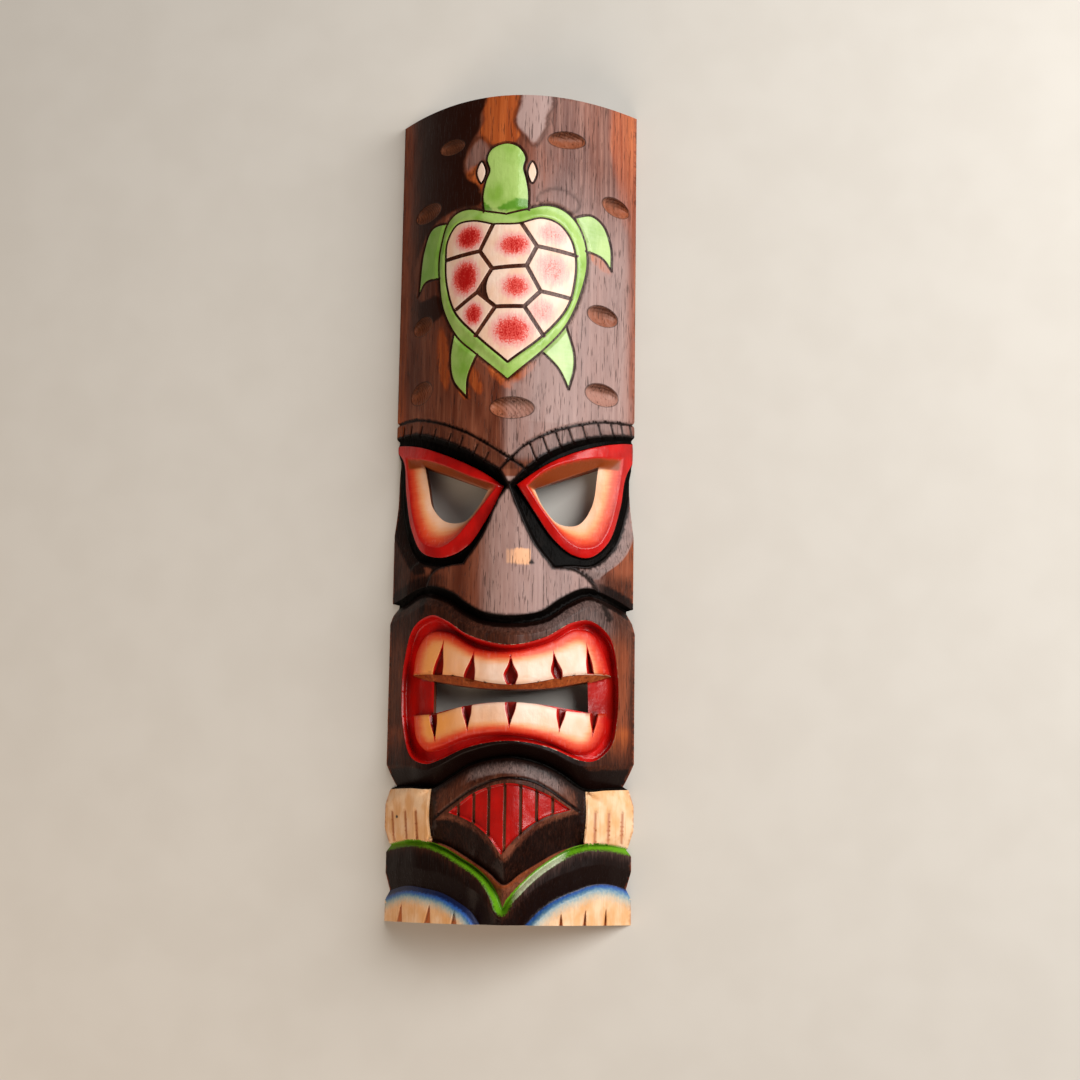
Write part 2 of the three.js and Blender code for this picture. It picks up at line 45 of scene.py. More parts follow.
# Places are in millimetres: x to the right as the face is seen, y up from the middle of the foot,
# z out of the face. The finished mesh is moved so that its middle is the frame's origin.
log = {
    "height": 500.0,
    "halfWidth": 75.2,
    "depth": 51.0,
    "topSlant": 0.024,  # the top is sawn a little out of square
    "topCorner": 73.8,
    "edgeRange": (54.0, 82.0),  # the side of the log lies between these, however deep it is cut
    "edgeShare": 0.6,  # how far a cut moves the edge in, as a share of its depth
    "eyeShare": 0.25,
    "middle": 250.888,
}
carving = {
    "face": 2.0,
    "brow": 12.0,
    "rim": 9.0,
    "ridge": 7.0,
    "eye": 19.0,
    "mouth": 13.0,
    "teeth": 6.0,
    "lip": 9.0,
    "chin": 12.0,
    "gouge": 3.5,
    "leaf": 2.4,
    "toe": 3.4,  # below the face
    "wall": 0.8,  # how far a steep wall leans over its height
    "soft": 0.5,  # width of the worn edge beside a line
    "rolled": 0.6,  # width of the rolled edge of a slope
}
hollow = {"halfWidth": 56.0, "depth": 27.0, "end": 34.0, "lean": 0.22}
meshSteps = {"line": 1.25, "face": 1.55, "forehead": 1.9, "back": 3.2, "edge": 1.1, "end": 1.5, "trough": 3}
meshRoom = {"front": (0.8, 0.7), "back": (1.5, 1.4)}  # kept free inside the log's edge and round every line
meshArea = {"foot": (-80, 0), "top": (80, 505), "forehead": 305}  # its corners, and where the forehead starts


# Camera: the photograph's own view, worked out from the corners and the arch of the top end

view = {
    "distance": 1200.0,
    "scale": 1.675,  # photograph pixels for a millimetre at that distance
    "lean": 9.2,
    "yaw": 5.55,
    "roll": -0.86,
    "footAt": (506.8, 923.1),
    "pixels": 1080.0,
}


def makeCamera():
    focal = view["scale"] * view["distance"]
    half = view["pixels"] / 2
    turn = (
        Matrix.Rotation(math.radians(view["roll"]), 3, "Z")
        @ Matrix.Rotation(math.radians(-view["lean"]), 3, "X")
        @ Matrix.Rotation(math.radians(-view["yaw"]), 3, "Y")
    )
    foot = Vector((
        (view["footAt"][0] - half) / focal * view["distance"],
        -(view["footAt"][1] - half) / focal * view["distance"],
        -view["distance"],
    ))
    back = turn.transposed()
    place = (-(back @ foot) - Vector((0, log["middle"], 0))) / 1000
    lens = bpy.data.cameras.new("camera")
    lens.sensor_width = 36
    lens.lens = lens.sensor_width * focal / view["pixels"]
    lens.clip_start = 0.05
    eye = bpy.data.objects.new("camera", lens)
    eye.matrix_world = Matrix.Translation(place) @ back.to_4x4()
    bpy.context.scene.collection.objects.link(eye)
    bpy.context.scene.camera = eye


makeCamera()


# Lines: smooth runs through a few places, cut into short steps

def smoothRun(places, closed=False, step=meshSteps["line"]):
    knots = np.array(places, float)
    if closed:
        before, after = np.roll(knots, 1, 0), np.roll(knots, -2, 0)
        starts, ends = knots, np.roll(knots, -1, 0)
    else:
        first, last = 2 * knots[0] - knots[1], 2 * knots[-1] - knots[-2]
        starts, ends = knots[:-1], knots[1:]
        before = np.vstack([first, knots[:-2]])
        after = np.vstack([knots[2:], last])
    run = []
    for a, b, c, d in zip(before, starts, ends, after):
        gaps = [max(math.hypot(*(q - p)) ** 0.5, 1e-4) for p, q in ((a, b), (b, c), (c, d))]
        leave = (b - a) / gaps[0] - (c - a) / (gaps[0] + gaps[1]) + (c - b) / gaps[1]
        arrive = (c - b) / gaps[1] - (d - b) / (gaps[1] + gaps[2]) + (d - c) / gaps[2]
        leave, arrive = leave * gaps[1], arrive * gaps[1]
        for t in np.arange(0, 1, 1 / max(1, round(math.hypot(*(c - b)) / step))):
            bend = (2 * t ** 3 - 3 * t ** 2 + 1) * b + (t ** 3 - 2 * t ** 2 + t) * leave
            run.append(bend + (3 * t ** 2 - 2 * t ** 3) * c + (t ** 3 - t ** 2) * arrive)
    if not closed:
        run.append(knots[-1])
    return np.array(run)


def turned(run):
    ahead = np.roll(run, -1, 0)
    area = np.sum(run[:, 0] * ahead[:, 1] - run[:, 1] * ahead[:, 0])
    return run if area > 0 else run[::-1]


def outline(*runs):  # closed, made of smooth runs that meet in corners
    return turned(np.vstack([smoothRun(places)[:-1] for places in runs]))


def roundOutline(places):
    return turned(smoothRun(places, closed=True))


def straight(start, end, step=meshSteps["line"]):
    count = max(2, round(math.dist(start, end) / step) + 1)
    return np.linspace(start, end, count)


def beside(run, distance, closed=False):  # the run moved to its left
    if closed:
        along = np.roll(run, -1, 0) - np.roll(run, 1, 0)
    else:
        along = np.gradient(run, axis=0)
    along /= np.linalg.norm(along, axis=1)[:, None] + 1e-9
    return run + distance * np.stack([-along[:, 1], along[:, 0]], 1)


def sideways(places, run, closed=False):  # distance from a run, above zero on its left
    starts = run if closed else run[:-1]
    ends = np.roll(run, -1, 0) if closed else run[1:]
    along = ends - starts
    lengths = np.linalg.norm(along, axis=1) + 1e-9
    normals = np.stack([-along[:, 1], along[:, 0]], 1) / lengths[:, None]
    before = np.roll(normals, 1, 0) if closed else np.vstack([normals[:1], normals[:-1]])
    after = np.roll(normals, -1, 0) if closed else np.vstack([normals[1:], normals[-1:]])
    nearest = np.full(len(places), np.inf)
    side = np.ones(len(places))
    for i in range(len(starts)):
        offset = places - starts[i]
        share = offset @ along[i] / lengths[i] ** 2
        inside = np.clip(share, 0, 1)
        gap = offset - inside[:, None] * along[i]
        distance = gap[:, 0] ** 2 + gap[:, 1] ** 2
        closer = distance < nearest
        bent = np.where((share >= 1)[:, None], after[i], 0)
        bent = np.where((share <= 0)[:, None], before[i], bent)
        facing = np.sum(gap * (normals[i] + bent), axis=1)
        nearest = np.where(closer, distance, nearest)
        side = np.where(closer, np.where(facing >= 0, 1.0, -1.0), side)
    return np.sqrt(nearest) * side


def within(places, run):
    inside = np.zeros(len(places), bool)
    x, y = places[:, 0], places[:, 1]
    for a, b in zip(run, np.roll(run, -1, 0)):
        if a[1] == b[1]:
            continue
        spans = (y >= min(a[1], b[1])) & (y < max(a[1], b[1]))
        inside ^= spans & (x < a[0] + (y - a[1]) * (b[0] - a[0]) / (b[1] - a[1]))
    return inside


def inward(places, run):  # distance from a closed run, above zero inside it
    return np.abs(sideways(places, run, True)) * np.where(within(places, run), 1, -1)


def fade(values, start, end):  # smooth step from 0 at start to 1 at end
    share = np.clip((values - start) / (end - start), 0, 1)
    return share * share * (3 - 2 * share)


# Outlines of the face

browTop = {
    "left": smoothRun([(-80, 304), (-61, 304), (-48, 300.5), (-25, 290.5), (-3, 277), (12, 267)]),
    "right": smoothRun([(80, 304), (56, 301), (32, 293), (12, 282.5), (4, 275), (-5, 265.5)]),
}
browFoot = {
    "left": smoothRun([(-80, 295), (-61, 294.5), (-48, 290.5), (-25, 279.5), (-13.5, 272), (-4, 266)]),
    "right": smoothRun([(80, 296.5), (61, 293), (42, 286.5), (23, 276), (12, 267)]),
}
eyeRim = {
    "left": outline(
        [(-1.5, 257.5), (-14, 266), (-36, 277.5), (-61, 288), (-80, 292)],
        [(-80, 292), (-69, 281), (-66, 258.5), (-61.5, 236), (-53, 220.5), (-38.5, 216.5), (-24, 222),
         (-13.5, 235.5), (-1.5, 257.5)],
    ),
    "right": outline(
        [(6, 258.5), (17, 242), (27.5, 227), (39, 218), (49, 217.5), (59.5, 228), (66, 249.5), (69.5, 271),
         (80, 292)],
        [(80, 292), (66, 290), (42.5, 281.5), (23, 271), (6, 258.5)],
    ),
}
eyeRidge = {
    "left": outline(
        [(-5, 258), (-20, 263.5), (-44.5, 275), (-67.5, 283)],
        [(-67.5, 283), (-64.5, 266), (-61, 245), (-53.5, 227), (-42, 222.5), (-32, 227), (-25, 234),
         (-5, 258)],
    ),
    "right": outline(
        [(12, 258), (23.5, 241), (34, 228), (43, 222.5), (53, 225), (60, 237), (65.5, 263), (68, 282)],
        [(68, 282), (43, 276.5), (23, 268), (12, 258)],
    ),
}
eyeHole = {
    "left": outline(
        [(-12.5, 257.5), (-26, 263), (-54, 275.5)],
        [(-54, 275.5), (-51, 262), (-48, 249), (-39, 239.5), (-27, 239), (-19, 247), (-12.5, 257.5)],
    ),
    "right": outline(
        [(15.5, 258), (21, 247), (30, 237.5), (41, 237.5), (49, 249), (53, 274.5)],
        [(53, 274.5), (36, 266.5), (15.5, 258)],
    ),
}
# The cheek falls away beside each eye, and below it to the wing of the nose
cheekPlaces = {
    "left": [(-80, 295), (-71.5, 279), (-69, 250), (-64, 230), (-55, 215)],
    "right": [(50, 212), (62, 224), (69, 247), (72, 268), (80, 296.5)],
}
cheek = {side: smoothRun(places) for side, places in cheekPlaces.items()}
socket = {
    "left": outline(
        [(-4, 266.5), (-13.5, 272), (-25, 279.5), (-48, 290.5), (-61, 294.5), (-80, 295)],
        [*cheekPlaces["left"], (-42, 211), (-25, 212)],
        [(-25, 212), (-14, 227.5), (-4, 250), (1.5, 257)],
        [(1.5, 257), (-4, 266.5)],
    ),
    "right": outline(
        [(2.5, 257), (8, 243.5), (18, 222.5), (28.5, 209.5)],
        [(28.5, 209.5), (39, 211), *cheekPlaces["right"]],
        [(80, 296.5), (61, 293), (42, 286.5), (23, 276), (12, 267)],
        [(12, 267), (2.5, 257)],
    ),
}
wing = {
    "left": smoothRun([(-25, 212), (-34, 211.5), (-43, 209.5), (-48, 205), (-50.5, 196), (-52, 184)]),
    "right": smoothRun([(28.5, 209.5), (38, 209.5), (45.5, 206.5), (50.5, 202), (55, 195), (61, 180)]),
}
lipLine = smoothRun([(-82, 187), (-66, 191), (-51, 196.5), (-34.5, 192), (-24, 184.5), (-13, 178.5), (5, 176),
                     (23, 179.5), (36, 189), (48, 195), (62, 191), (82, 180)])

mouth = roundOutline([(-45, 181), (-57, 175), (-63.5, 155), (-65, 135), (-63, 113), (-57, 97), (-47, 92.5),
                      (-38, 94.5), (-19, 102), (5, 105.5), (27, 102.5), (45, 95.5), (53, 95.5), (62, 104),
                      (65.5, 120), (65.5, 150), (61, 170), (50, 178.5), (40, 176.5), (24, 166.5), (4, 161.5),
                      (-20, 167.5), (-35, 177)])
bitingPlaces = {
    "upper": [(-58.5, 147), (-31, 145), (-11, 140.5), (5, 139), (20, 141), (40, 146), (61, 147.5)],
    "lower": [(59, 124.5), (40, 124.5), (17, 128.5), (0, 129), (-26, 126.5), (-41, 123), (-57.5, 122.5)],
}
gumPlaces = {
    "upper": [(61, 147.5), (57, 161), (50, 172), (41, 173.5), (26, 165), (5.5, 159), (-16, 161),
              (-34, 171), (-48, 171.5), (-56, 161), (-58.5, 147)],
    "lower": [(-57.5, 122.5), (-55, 108), (-47.5, 100.5), (-39.5, 101.5), (-19, 108), (4, 109.5),
              (25, 106), (43, 99.5), (52, 102), (58, 112), (59, 124.5)],
}
teeth = {row: outline(bitingPlaces[row], gumPlaces[row]) for row in ("upper", "lower")}
gums = [smoothRun(places) for places in gumPlaces.values()]
mouthHole = outline(
    [(-44, 123), (-20, 127.5), (0, 129), (17, 128.5), (48.5, 124.5)],
    [(48.5, 124.5), (48, 143)],
    [(48, 143), (27, 138), (4, 136.5), (-19, 138), (-44, 142.5)],
    [(-44, 142.5), (-44, 123)],
)
# Each gap between teeth: its point, its mouth, its width and how much of that is left at the mouth
toothGaps = [
    (-37.2, 166.8, -41.3, 145.5, 6.8, 1.0),
    (-17.6, 159.5, -21.3, 141, 7.8, 0.95),
    (4.5, 157.2, 4.7, 139, 8.6, 0.6),
    (28.6, 160.7, 31.8, 142.3, 6.6, 0.6),
    (47.4, 166.5, 50, 147.5, 4.4, 0.9),
    (-41.6, 104.8, -43.5, 122.5, 5.6, 1.0),
    (-21, 111, -21.9, 127, 6.8, 1.0),
    (4.2, 112.5, 4.9, 129, 7.2, 1.0),
    (32.6, 110.9, 33.8, 125.2, 5.6, 1.0),
    (51.5, 109.3, 52.2, 124.5, 4.8, 1.0),
]
# Biting edge of the upper teeth, and the edge of the mouth's opening that their underside runs to
bitingEdge = smoothRun(bitingPlaces["upper"])
eaves = smoothRun([(-58.5, 146.6), (-44, 141.8), (-19, 137.2), (4, 135.7), (27, 137.2), (48, 142.2),
                   (61, 147)])


def underShare(places):  # 0 to 1 over the underside of the upper teeth, below 0 beyond it
    x, y = places[:, 0], places[:, 1]
    roof, foot = (np.interp(x, run[:, 0], run[:, 1], -1, -1) for run in (bitingEdge, eaves))
    share = (roof - y) / (roof - foot + 1e-3)
    return np.where((share > 0) & (share < 1) & (roof > 0), share, -1)


def gapOutline(tipX, tipY, x, y, width, left):
    tip, foot = np.array((tipX, tipY)), np.array((x, y))
    past = 1.01 if tipY > y else 1.12  # the lower gaps are cut right through the biting edge
    belly = 0.5 if left < 0.8 else 0.42  # a gap that closes again is widest in its middle
    rows = [(0.35, 0.17), (0.7, belly), (past, 0.5 * left)]
    before, after = ([tip + (foot - tip) * share + (sign * half * width, 0) for share, half in rows]
                     for sign in (-1, 1))
    return outline([tip, *before], [before[-1], after[-1]], [*after[::-1], tip])


gaps = [gapOutline(*row) for row in toothGaps]

chinLine = smoothRun([(-82, 80), (-58, 80), (-43, 79.5), (-30, 86.5), (-18, 93), (5, 97), (24, 93), (34, 88),
                      (48, 79), (60, 80), (82, 82)])
frameFoot = smoothRun([(-82, 94), (-58, 92), (-46, 89), (-19, 99.5), (5, 104), (27, 100), (45, 92), (60, 93),
                       (82, 96)])
bellyTop = smoothRun([(-43, 79), (-30, 86), (-18, 92.5), (5, 96.5), (24, 92.5), (34, 87.5), (48, 78.5)])
handInner = {
    "left": smoothRun([(-43, 79), (-44, 62), (-42, 47)]),
    "right": smoothRun([(47, 46), (48.5, 62), (48, 78.5)]),
}
leafTop = smoothRun([(-40, 61), (-27, 70.5), (-17, 77), (-5, 82), (6, 84), (17.5, 83), (28, 78), (44.5, 66)])
leafFoot = smoothRun([(-40, 61), (-30, 60.5), (-22, 58), (-13, 53), (-4.5, 45), (2.5, 37), (8, 43.5),
                      (16, 51.5), (24, 58), (34, 62.5), (44.5, 66)])
leafRed = outline(
    [(-31, 64), (-19, 59.5), (-8, 52), (1.5, 40)],
    [(1.5, 40), (11, 51), (24, 61), (40.5, 66.5)],
    [(40.5, 66.5), (26, 75.5), (6, 81), (-14, 76), (-31, 64)],
)
stripePlaces = (-25, -15.5, -6.5, 3, 12, 21, 30)
legFold = smoothRun([(-43, 48.5), (-30, 44), (-17.5, 37), (-6.5, 30), (2.5, 23), (11, 29), (21, 35.5),
                     (33, 42.5), (47, 47.5)])
betweenHands = [(-35, 43.5), (-24, 37.5), (-14, 31.5), (-7, 25), (-2, 17), (2, 8.5), (5, 14), (11, 21),
                (20, 30), (30, 37.5), (41, 44)]
greenLine = smoothRun([(-82, 43), (-60, 47.5), (-47, 47), *betweenHands, (50, 46.5), (61, 46.5), (82, 42)])
greenMiddle = smoothRun([(-43, 46.5), *betweenHands, (47, 46)])
footTop = {
    "left": smoothRun([(-82, 14), (-60, 21), (-47, 20), (-35, 17.5), (-25.5, 13), (-17, 7.5), (-9, -3)]),
    "right": smoothRun([(12, -3), (23.5, 9), (32, 15), (43, 20), (53, 23.5), (63, 23.5), (82, 16)]),
}
# Each cut between the toes: its point, and its left and right corner on the ground
toes = [(-61.4, 12.2, -65.0, -60.6), (-42.1, 12.3, -45.8, -41.4), (-26.4, 8.4, -28.5, -24.6),
        (35.4, 8.6, 34.1, 36.5), (49.1, 12, 47.2, 49.3), (60.4, 13.4, 58.8, 60.7)]
fingerCuts = [straight((x + 1.4 * (x < 0), 48), (x + math.copysign(0.4, x), 66))
              for x in (-69.5, -60, -52.5, 53.5, 61, 68.5)]
notchPlaces = {"left": (-13, -20, -29, -36.5, -46.5, -56, -63.5, -69),
               "right": (18, 25, 32, 39, 46.5, 55, 62, 67.5, 72.5)}


def browNotch(side, x):  # from the groove over the brow down to its foot, leaning outward
    top, foot = browTop[side], browFoot[side]
    lean = math.copysign(np.interp(abs(x), (15, 70), (4.6, 1.4)), x)
    ends = []
    for run, at in ((top, x - lean), (foot, x)):
        order = np.argsort(run[:, 0])
        ends.append((at, np.interp(at, run[order, 0], run[order, 1])))
    start, end = ends
    if side == "left":  # shorter here: they start half way down the band
        start = tuple(np.add(start, end) / 2 + (0, 0.8))
    return straight(start, end)


def toeCut(tipX, tipY, left, right):  # runs on a little below the ground
    left, right = (tipX + (x - tipX) * (tipY + 4) / tipY for x in (left, right))
    return outline([(tipX, tipY), (left, -4)], [(left, -4), (right, -4)], [(right, -4), (tipX, tipY)])


toeCuts = [toeCut(*row) for row in toes]
notches = {side: [browNotch(side, x) for x in places] for side, places in notchPlaces.items()}

# Each hand rounds off at its outer corners, outward of these lines
handCorners = [straight((-46, 82), (-84, 66)), straight((-84, 59), (-46, 44)), straight((84, 66), (46, 82)),
               straight((46, 44), (84, 59))]

# Turtle
shellCrown = [(-2.5, 424.5), (-15, 427), (-26, 430), (-34, 429), (-40, 424), (-44, 412), (-45.5, 402),
              (-45, 388), (-42, 370), (-32, 350.5), (-20, 339), (0, 322)]
shellSide = [(0, 322), (21.5, 341.5), (33, 356), (40, 372), (45, 392), (45.5, 402), (44, 412), (39, 423),
             (31, 429.5), (21.5, 431), (9.5, 427.5), (-2.5, 424.5)]
innerCrown = [(-10.5, 418.5), (-24, 422), (-34, 421), (-40, 412), (-41, 400), (-40, 385), (-34, 366),
              (-19, 349), (0, 332)]
innerSide = [(0, 332), (20, 348.5), (34.5, 368), (39, 387), (39, 402), (36, 412), (29, 420),
             (19, 422.5), (5, 418.5), (-10.5, 418.5)]
shell, shellInner = outline(shellCrown, shellSide), outline(innerCrown, innerSide)
shellEdges = [smoothRun(shellCrown), smoothRun(shellSide)]
innerEdges = [smoothRun(innerCrown), smoothRun(innerSide)]
# Corners of the scutes, and the lines between them
scuteNodes = {
    "a": (-10.5, 418), "b": (-18.5, 402), "c": (-40.5, 400), "d": (-10.5, 390.5), "e": (10.5, 392),
    "f": (16.5, 404.5), "g": (7, 418.5), "h": (39.5, 401.5), "i": (-19.5, 376.5), "j": (-33, 367.5),
    "k": (-8, 366.5), "l": (9.5, 366.5), "m": (19, 376.5), "n": (36.5, 374), "o": (-20, 349.5),
    "p": (21, 349),
}
scuteLines = "ab bc bd de ef fg fh di em ij ik kl lm mn ko lp".split()
scuteCuts = [straight(scuteNodes[start], scuteNodes[end]) for start, end in scuteLines]
# Airbrushed middle of each scute: place, width, height and strength
scuteBlush = [(-25.5, 411.5, 19, 17, 1.05), (2.5, 405, 22, 16, 0.9), (26, 413, 21, 16, 0.42),
              (-27.5, 386.5, 19, 24, 1.1), (4, 379, 20, 16, 0.82), (26, 391, 22, 23, 0.46),
              (-22, 363, 13, 16, 1.0), (2, 351.5, 27, 22, 0.9), (20, 364, 19, 18, 0.42)]
# A sliver between the scutes that is left as wood, and the crest along the rim of the shell
slip = outline([(-10.5, 390), (-18.8, 376.8)], [(-18.8, 376.8), (-9, 367.5)],
               [(-9, 367.5), (-12.2, 372), (-13.8, 380), (-10.5, 390)])
crest = {"in": 1.9, "outer": 0.42, "inner": 0.5}
turtleHead = smoothRun([(-16.5, 427), (-17.3, 437), (-15.6, 446), (-13.3, 452.6), (-15.2, 460),
                        (-12.3, 466.3), (-3, 469.5), (5, 466.8), (9, 460.4), (7.8, 453.8), (9.6, 446.5),
                        (11, 438), (11, 427)])
headFacet = {"from": 4.0, "fall": 0.2}
# The front and the back edge of each flipper
flippers = [[smoothRun(places) for places in pair] for pair in (
    ([(-40, 424), (-51, 423), (-57, 410), (-60, 383)], [(-60, 383), (-55, 389.5), (-45, 390)]),
    ([(39, 426), (48, 429), (55, 424.5), (59.5, 412), (60, 397)], [(60, 397), (54.5, 403.5), (45, 406)]),
    ([(-34.5, 353), (-36.5, 337), (-34, 323), (-25, 311.5)], [(-25, 311.5), (-24.5, 324), (-19, 338)]),
    ([(34, 357), (39, 340), (39, 330), (36, 317.5)], [(36, 317.5), (30, 329.5), (20.5, 339)]),
)]
flipperLines = [run for pair in flippers for run in pair]
eyeRings = [roundOutline([(x, y + tall / 2), (x - wide / 2, y), (x, y - tall / 2), (x + wide / 2, y)])
            for x, y, wide, tall in ((-18.5, 452, 6.2, 14), (13, 451, 5.8, 14))]
# Gouge marks: place, length, width and turn
gougeMarks = [(33, 474, 26, 11, 6), (-38, 472, 21, 10, 0), (-54, 434, 26, 12, 6), (62, 438.5, 24, 12, -6),
              (55, 367, 25, 13, -3), (-56, 362, 20, 12, 8), (-56, 319.5, 22, 14, 10), (55, 317.5, 27, 14, -2),
              (3, 304, 27, 13.5, 0)]


# Relief: every cut is a floor, and the surface lies on the lowest of them

cuts = []  # lowest and highest corner, and a function for the height of the floor
guides = []  # lines that the mesh follows, each with whether it is closed


def roundHeight(x, depth=0.0, share=log["edgeShare"]):
    reach = log["halfWidth"] - share * depth
    return (log["depth"] - depth) * (1 - (x / reach) ** 2)


def addCut(run, margin, floor):
    cuts.append((run.min(0) - margin, run.max(0) + margin, floor))


def addGuides(run, offsets, closed=False):
    for offset in offsets:
        guides.append((beside(run, offset, closed), closed))


# Rows hold an offset to the left and a depth. A square channel stops at the ends of its run, and one
# with a zone stays inside that outline.
def channel(run, rows, closed=False, square=False, zone=None):
    offsets, depths = zip(*rows)
    strip = turned(np.vstack([beside(run, offsets[0] - 0.02), beside(run, offsets[-1] + 0.02)[::-1]]))

    def floor(places):
        toLeft = sideways(places, run, closed)
        height = roundHeight(places[:, 0], np.interp(toLeft, offsets, depths))
        beyond = (toLeft < offsets[0]) | (toLeft > offsets[-1])
        if square:
            beyond |= ~within(places, strip)
        if zone is not None:
            beyond |= ~within(places, zone)
        return np.where(beyond, np.inf, height)

    addCut(run, max(-offsets[0], offsets[-1]) + 1, floor)
    soft = carving["soft"]
    lines = offsets if zone is not None else (offsets[0] - soft, *offsets, offsets[-1] + soft)
    for offset in lines:
        line = beside(run, offset, closed)
        if zone is not None:
            line = line[within(line, zone)]
        if len(line) > 2:
            guides.append((line, closed))


def groove(run, depth, left, right=None, ground=carving["face"], closed=False):
    right = left if right is None else right
    channel(run, [(-right, ground), (0, ground + depth), (left, ground)], closed)


def recess(run, depth, top=0.0, wall=carving["wall"]):
    def floor(places):
        inside = inward(places, run)
        height = roundHeight(places[:, 0], np.interp(inside, [0, wall], [top, depth]))
        return np.where(inside < -0.02, np.inf, height)

    addCut(run, 1, floor)
    addGuides(run, [-carving["soft"], 0, wall, wall + carving["soft"]], True)


# A floor that climbs from one run to another, with a steep wall beyond the first
def slope(low, high, lowDepth, highDepth, lowWall, highWall=None, power=1.0):
    region = turned(np.vstack([low, high[::-1]]))

    def floor(places):
        fromLow = np.abs(sideways(places, low))
        fromHigh = np.abs(sideways(places, high))
        share = (fromLow / (fromLow + fromHigh + 1e-6)) ** power
        depth = lowDepth + (highDepth - lowDepth) * share
        inside = within(places, region) | (np.minimum(fromLow, fromHigh) < 0.03)
        beyond = ~inside & (fromLow < lowWall) & (fromLow < fromHigh)
        depth = np.where(beyond, lowDepth * (1 - fromLow / lowWall), depth)
        if highWall:
            over = ~inside & (fromHigh < highWall) & (fromHigh < fromLow)
            depth = np.where(over, highDepth * (1 - fromHigh / highWall), depth)
            beyond |= over
        return np.where(inside | beyond, roundHeight(places[:, 0], depth), np.inf)

    addCut(region, 2, floor)
    addGuides(low, [0, carving["rolled"]])
    addGuides(high, [0])
    addGuides(low, [-lowWall, -lowWall - carving["soft"]])
    rolled = highWall or carving["rolled"]
    addGuides(high, [rolled, -rolled, rolled + carving["soft"]])


eyeForm = {"rimWall": 0.6, "socketWall": 1.3, "bevelBend": 0.85, "rimBend": 0.8}


def carveEye(side):
    rim, ridge, hole, ground = eyeRim[side], eyeRidge[side], eyeHole[side], socket[side]
    rimWall, socketWall = eyeForm["rimWall"], eyeForm["socketWall"]

    def floor(places):
        toRim = np.abs(sideways(places, rim, True))
        toRidge = np.abs(sideways(places, ridge, True))
        toHole = np.abs(sideways(places, hole, True))
        inSocket = inward(places, ground)
        bevel = (toRidge / (toRidge + toHole + 1e-6)) ** eyeForm["bevelBend"]
        depth = carving["ridge"] + (carving["eye"] - carving["ridge"]) * bevel
        share = toRim / (toRim + toRidge + 1e-6)
        onBand = carving["rim"] - (carving["rim"] - carving["ridge"]) * share ** eyeForm["rimBend"]
        depth = np.where(within(places, ridge), depth, onBand)
        depth = np.where(within(places, hole), carving["eye"], depth)
        foot = np.interp(toRim, [0, rimWall], [carving["rim"], carving["brow"]])
        foot = np.minimum(foot, np.interp(inSocket, [0, socketWall], [carving["face"], carving["brow"]]))
        inRim = within(places, rim) | (toRim < 0.02)
        depth = np.where(inRim, depth, foot)
        height = roundHeight(places[:, 0], depth, log["eyeShare"])
        return np.where((inSocket < -0.02) & ~inRim, np.inf, height)

    addCut(ground, 3, floor)
    addGuides(ground, [-carving["soft"], 0, socketWall, 2], True)
    addGuides(rim, [-rimWall - carving["soft"], -rimWall, 0, rimWall], True)
    addGuides(ridge, [-rimWall, 0, rimWall], True)
    addGuides(hole, [-0.7, 0], True)


# Offsets inward from the edge of the mouth and of a row of teeth, and the depths there
mouthSection = (0, 1.2, 2.0), (0, carving["mouth"] - 2, carving["mouth"])
toothSection = (0, 0.7, 1.6, 4), (carving["mouth"], 7.4, 6.5, carving["teeth"])
underside = {"depth": carving["teeth"] + 2.5, "fall": 4.5}


def carveMouth():
    def floor(places):
        inside = inward(places, mouth)
        depth = np.interp(inside, *mouthSection)
        for block in teeth.values():
            tooth = inward(places, block)
            face = np.interp(tooth, *toothSection)
            biting = np.abs(sideways(places, bitingEdge)) < tooth + 0.01
            face = np.where(biting, np.minimum(face, underside["depth"]), face)
            depth = np.where(tooth > 0, face, depth)
        under = underShare(places)
        depth = np.where(under > 0, underside["depth"] + underside["fall"] * under, depth)
        return np.where(inside < -0.02, np.inf, roundHeight(places[:, 0], depth))

    addCut(mouth, 1, floor)
    addGuides(mouth, [-carving["soft"], *mouthSection[0]], True)
    for block in teeth.values():
        addGuides(block, [-carving["soft"], *toothSection[0][:3]], True)
    for gap in gaps:
        recess(gap, carving["mouth"] - 1, carving["teeth"], 1.1)
    addGuides(eaves[np.abs(eaves[:, 0] - 1.5) > 48], [0])  # beyond the ends of the opening
    addGuides(mouthHole, [-0.6, 0], True)


def leanAt(x):  # how steep the log's round is
    return math.atan(2 * log["depth"] * x / log["halfWidth"] ** 2)


def gouge(x, y, length, width, turn, depth):
    tilt = leanAt(x)
    c, s = math.cos(math.radians(turn)), math.sin(math.radians(turn))

    def shape(places):
        across, up = (places[:, 0] - x) / math.cos(tilt), places[:, 1] - y
        return (c * across + s * up) * 2 / length, (c * up - s * across) * 2 / width

    def floor(places):
        along, over = shape(places)
        reach = along ** 2 + over ** 2
        bowl = depth * np.clip(1 - reach, 0, 1) ** 0.8 * (1 + 0.35 * over) / math.cos(tilt)  # deeper above
        ground = roundHeight(places[:, 0], carving["face"])
        return np.where(reach > 1, np.inf, ground - bowl)

    around = np.linspace(0, 2 * math.pi, 44, endpoint=False)
    for share in (1.07, 1.0, 0.93, 0.75, 0.5, 0.25):
        u, v = share * length / 2 * np.cos(around), share * width / 2 * np.sin(around)
        ring = np.stack([x + (c * u - s * v) * math.cos(tilt), y + s * u + c * v], 1)
        guides.append((ring, True))
        if share == 1:
            addCut(ring, 1, floor)


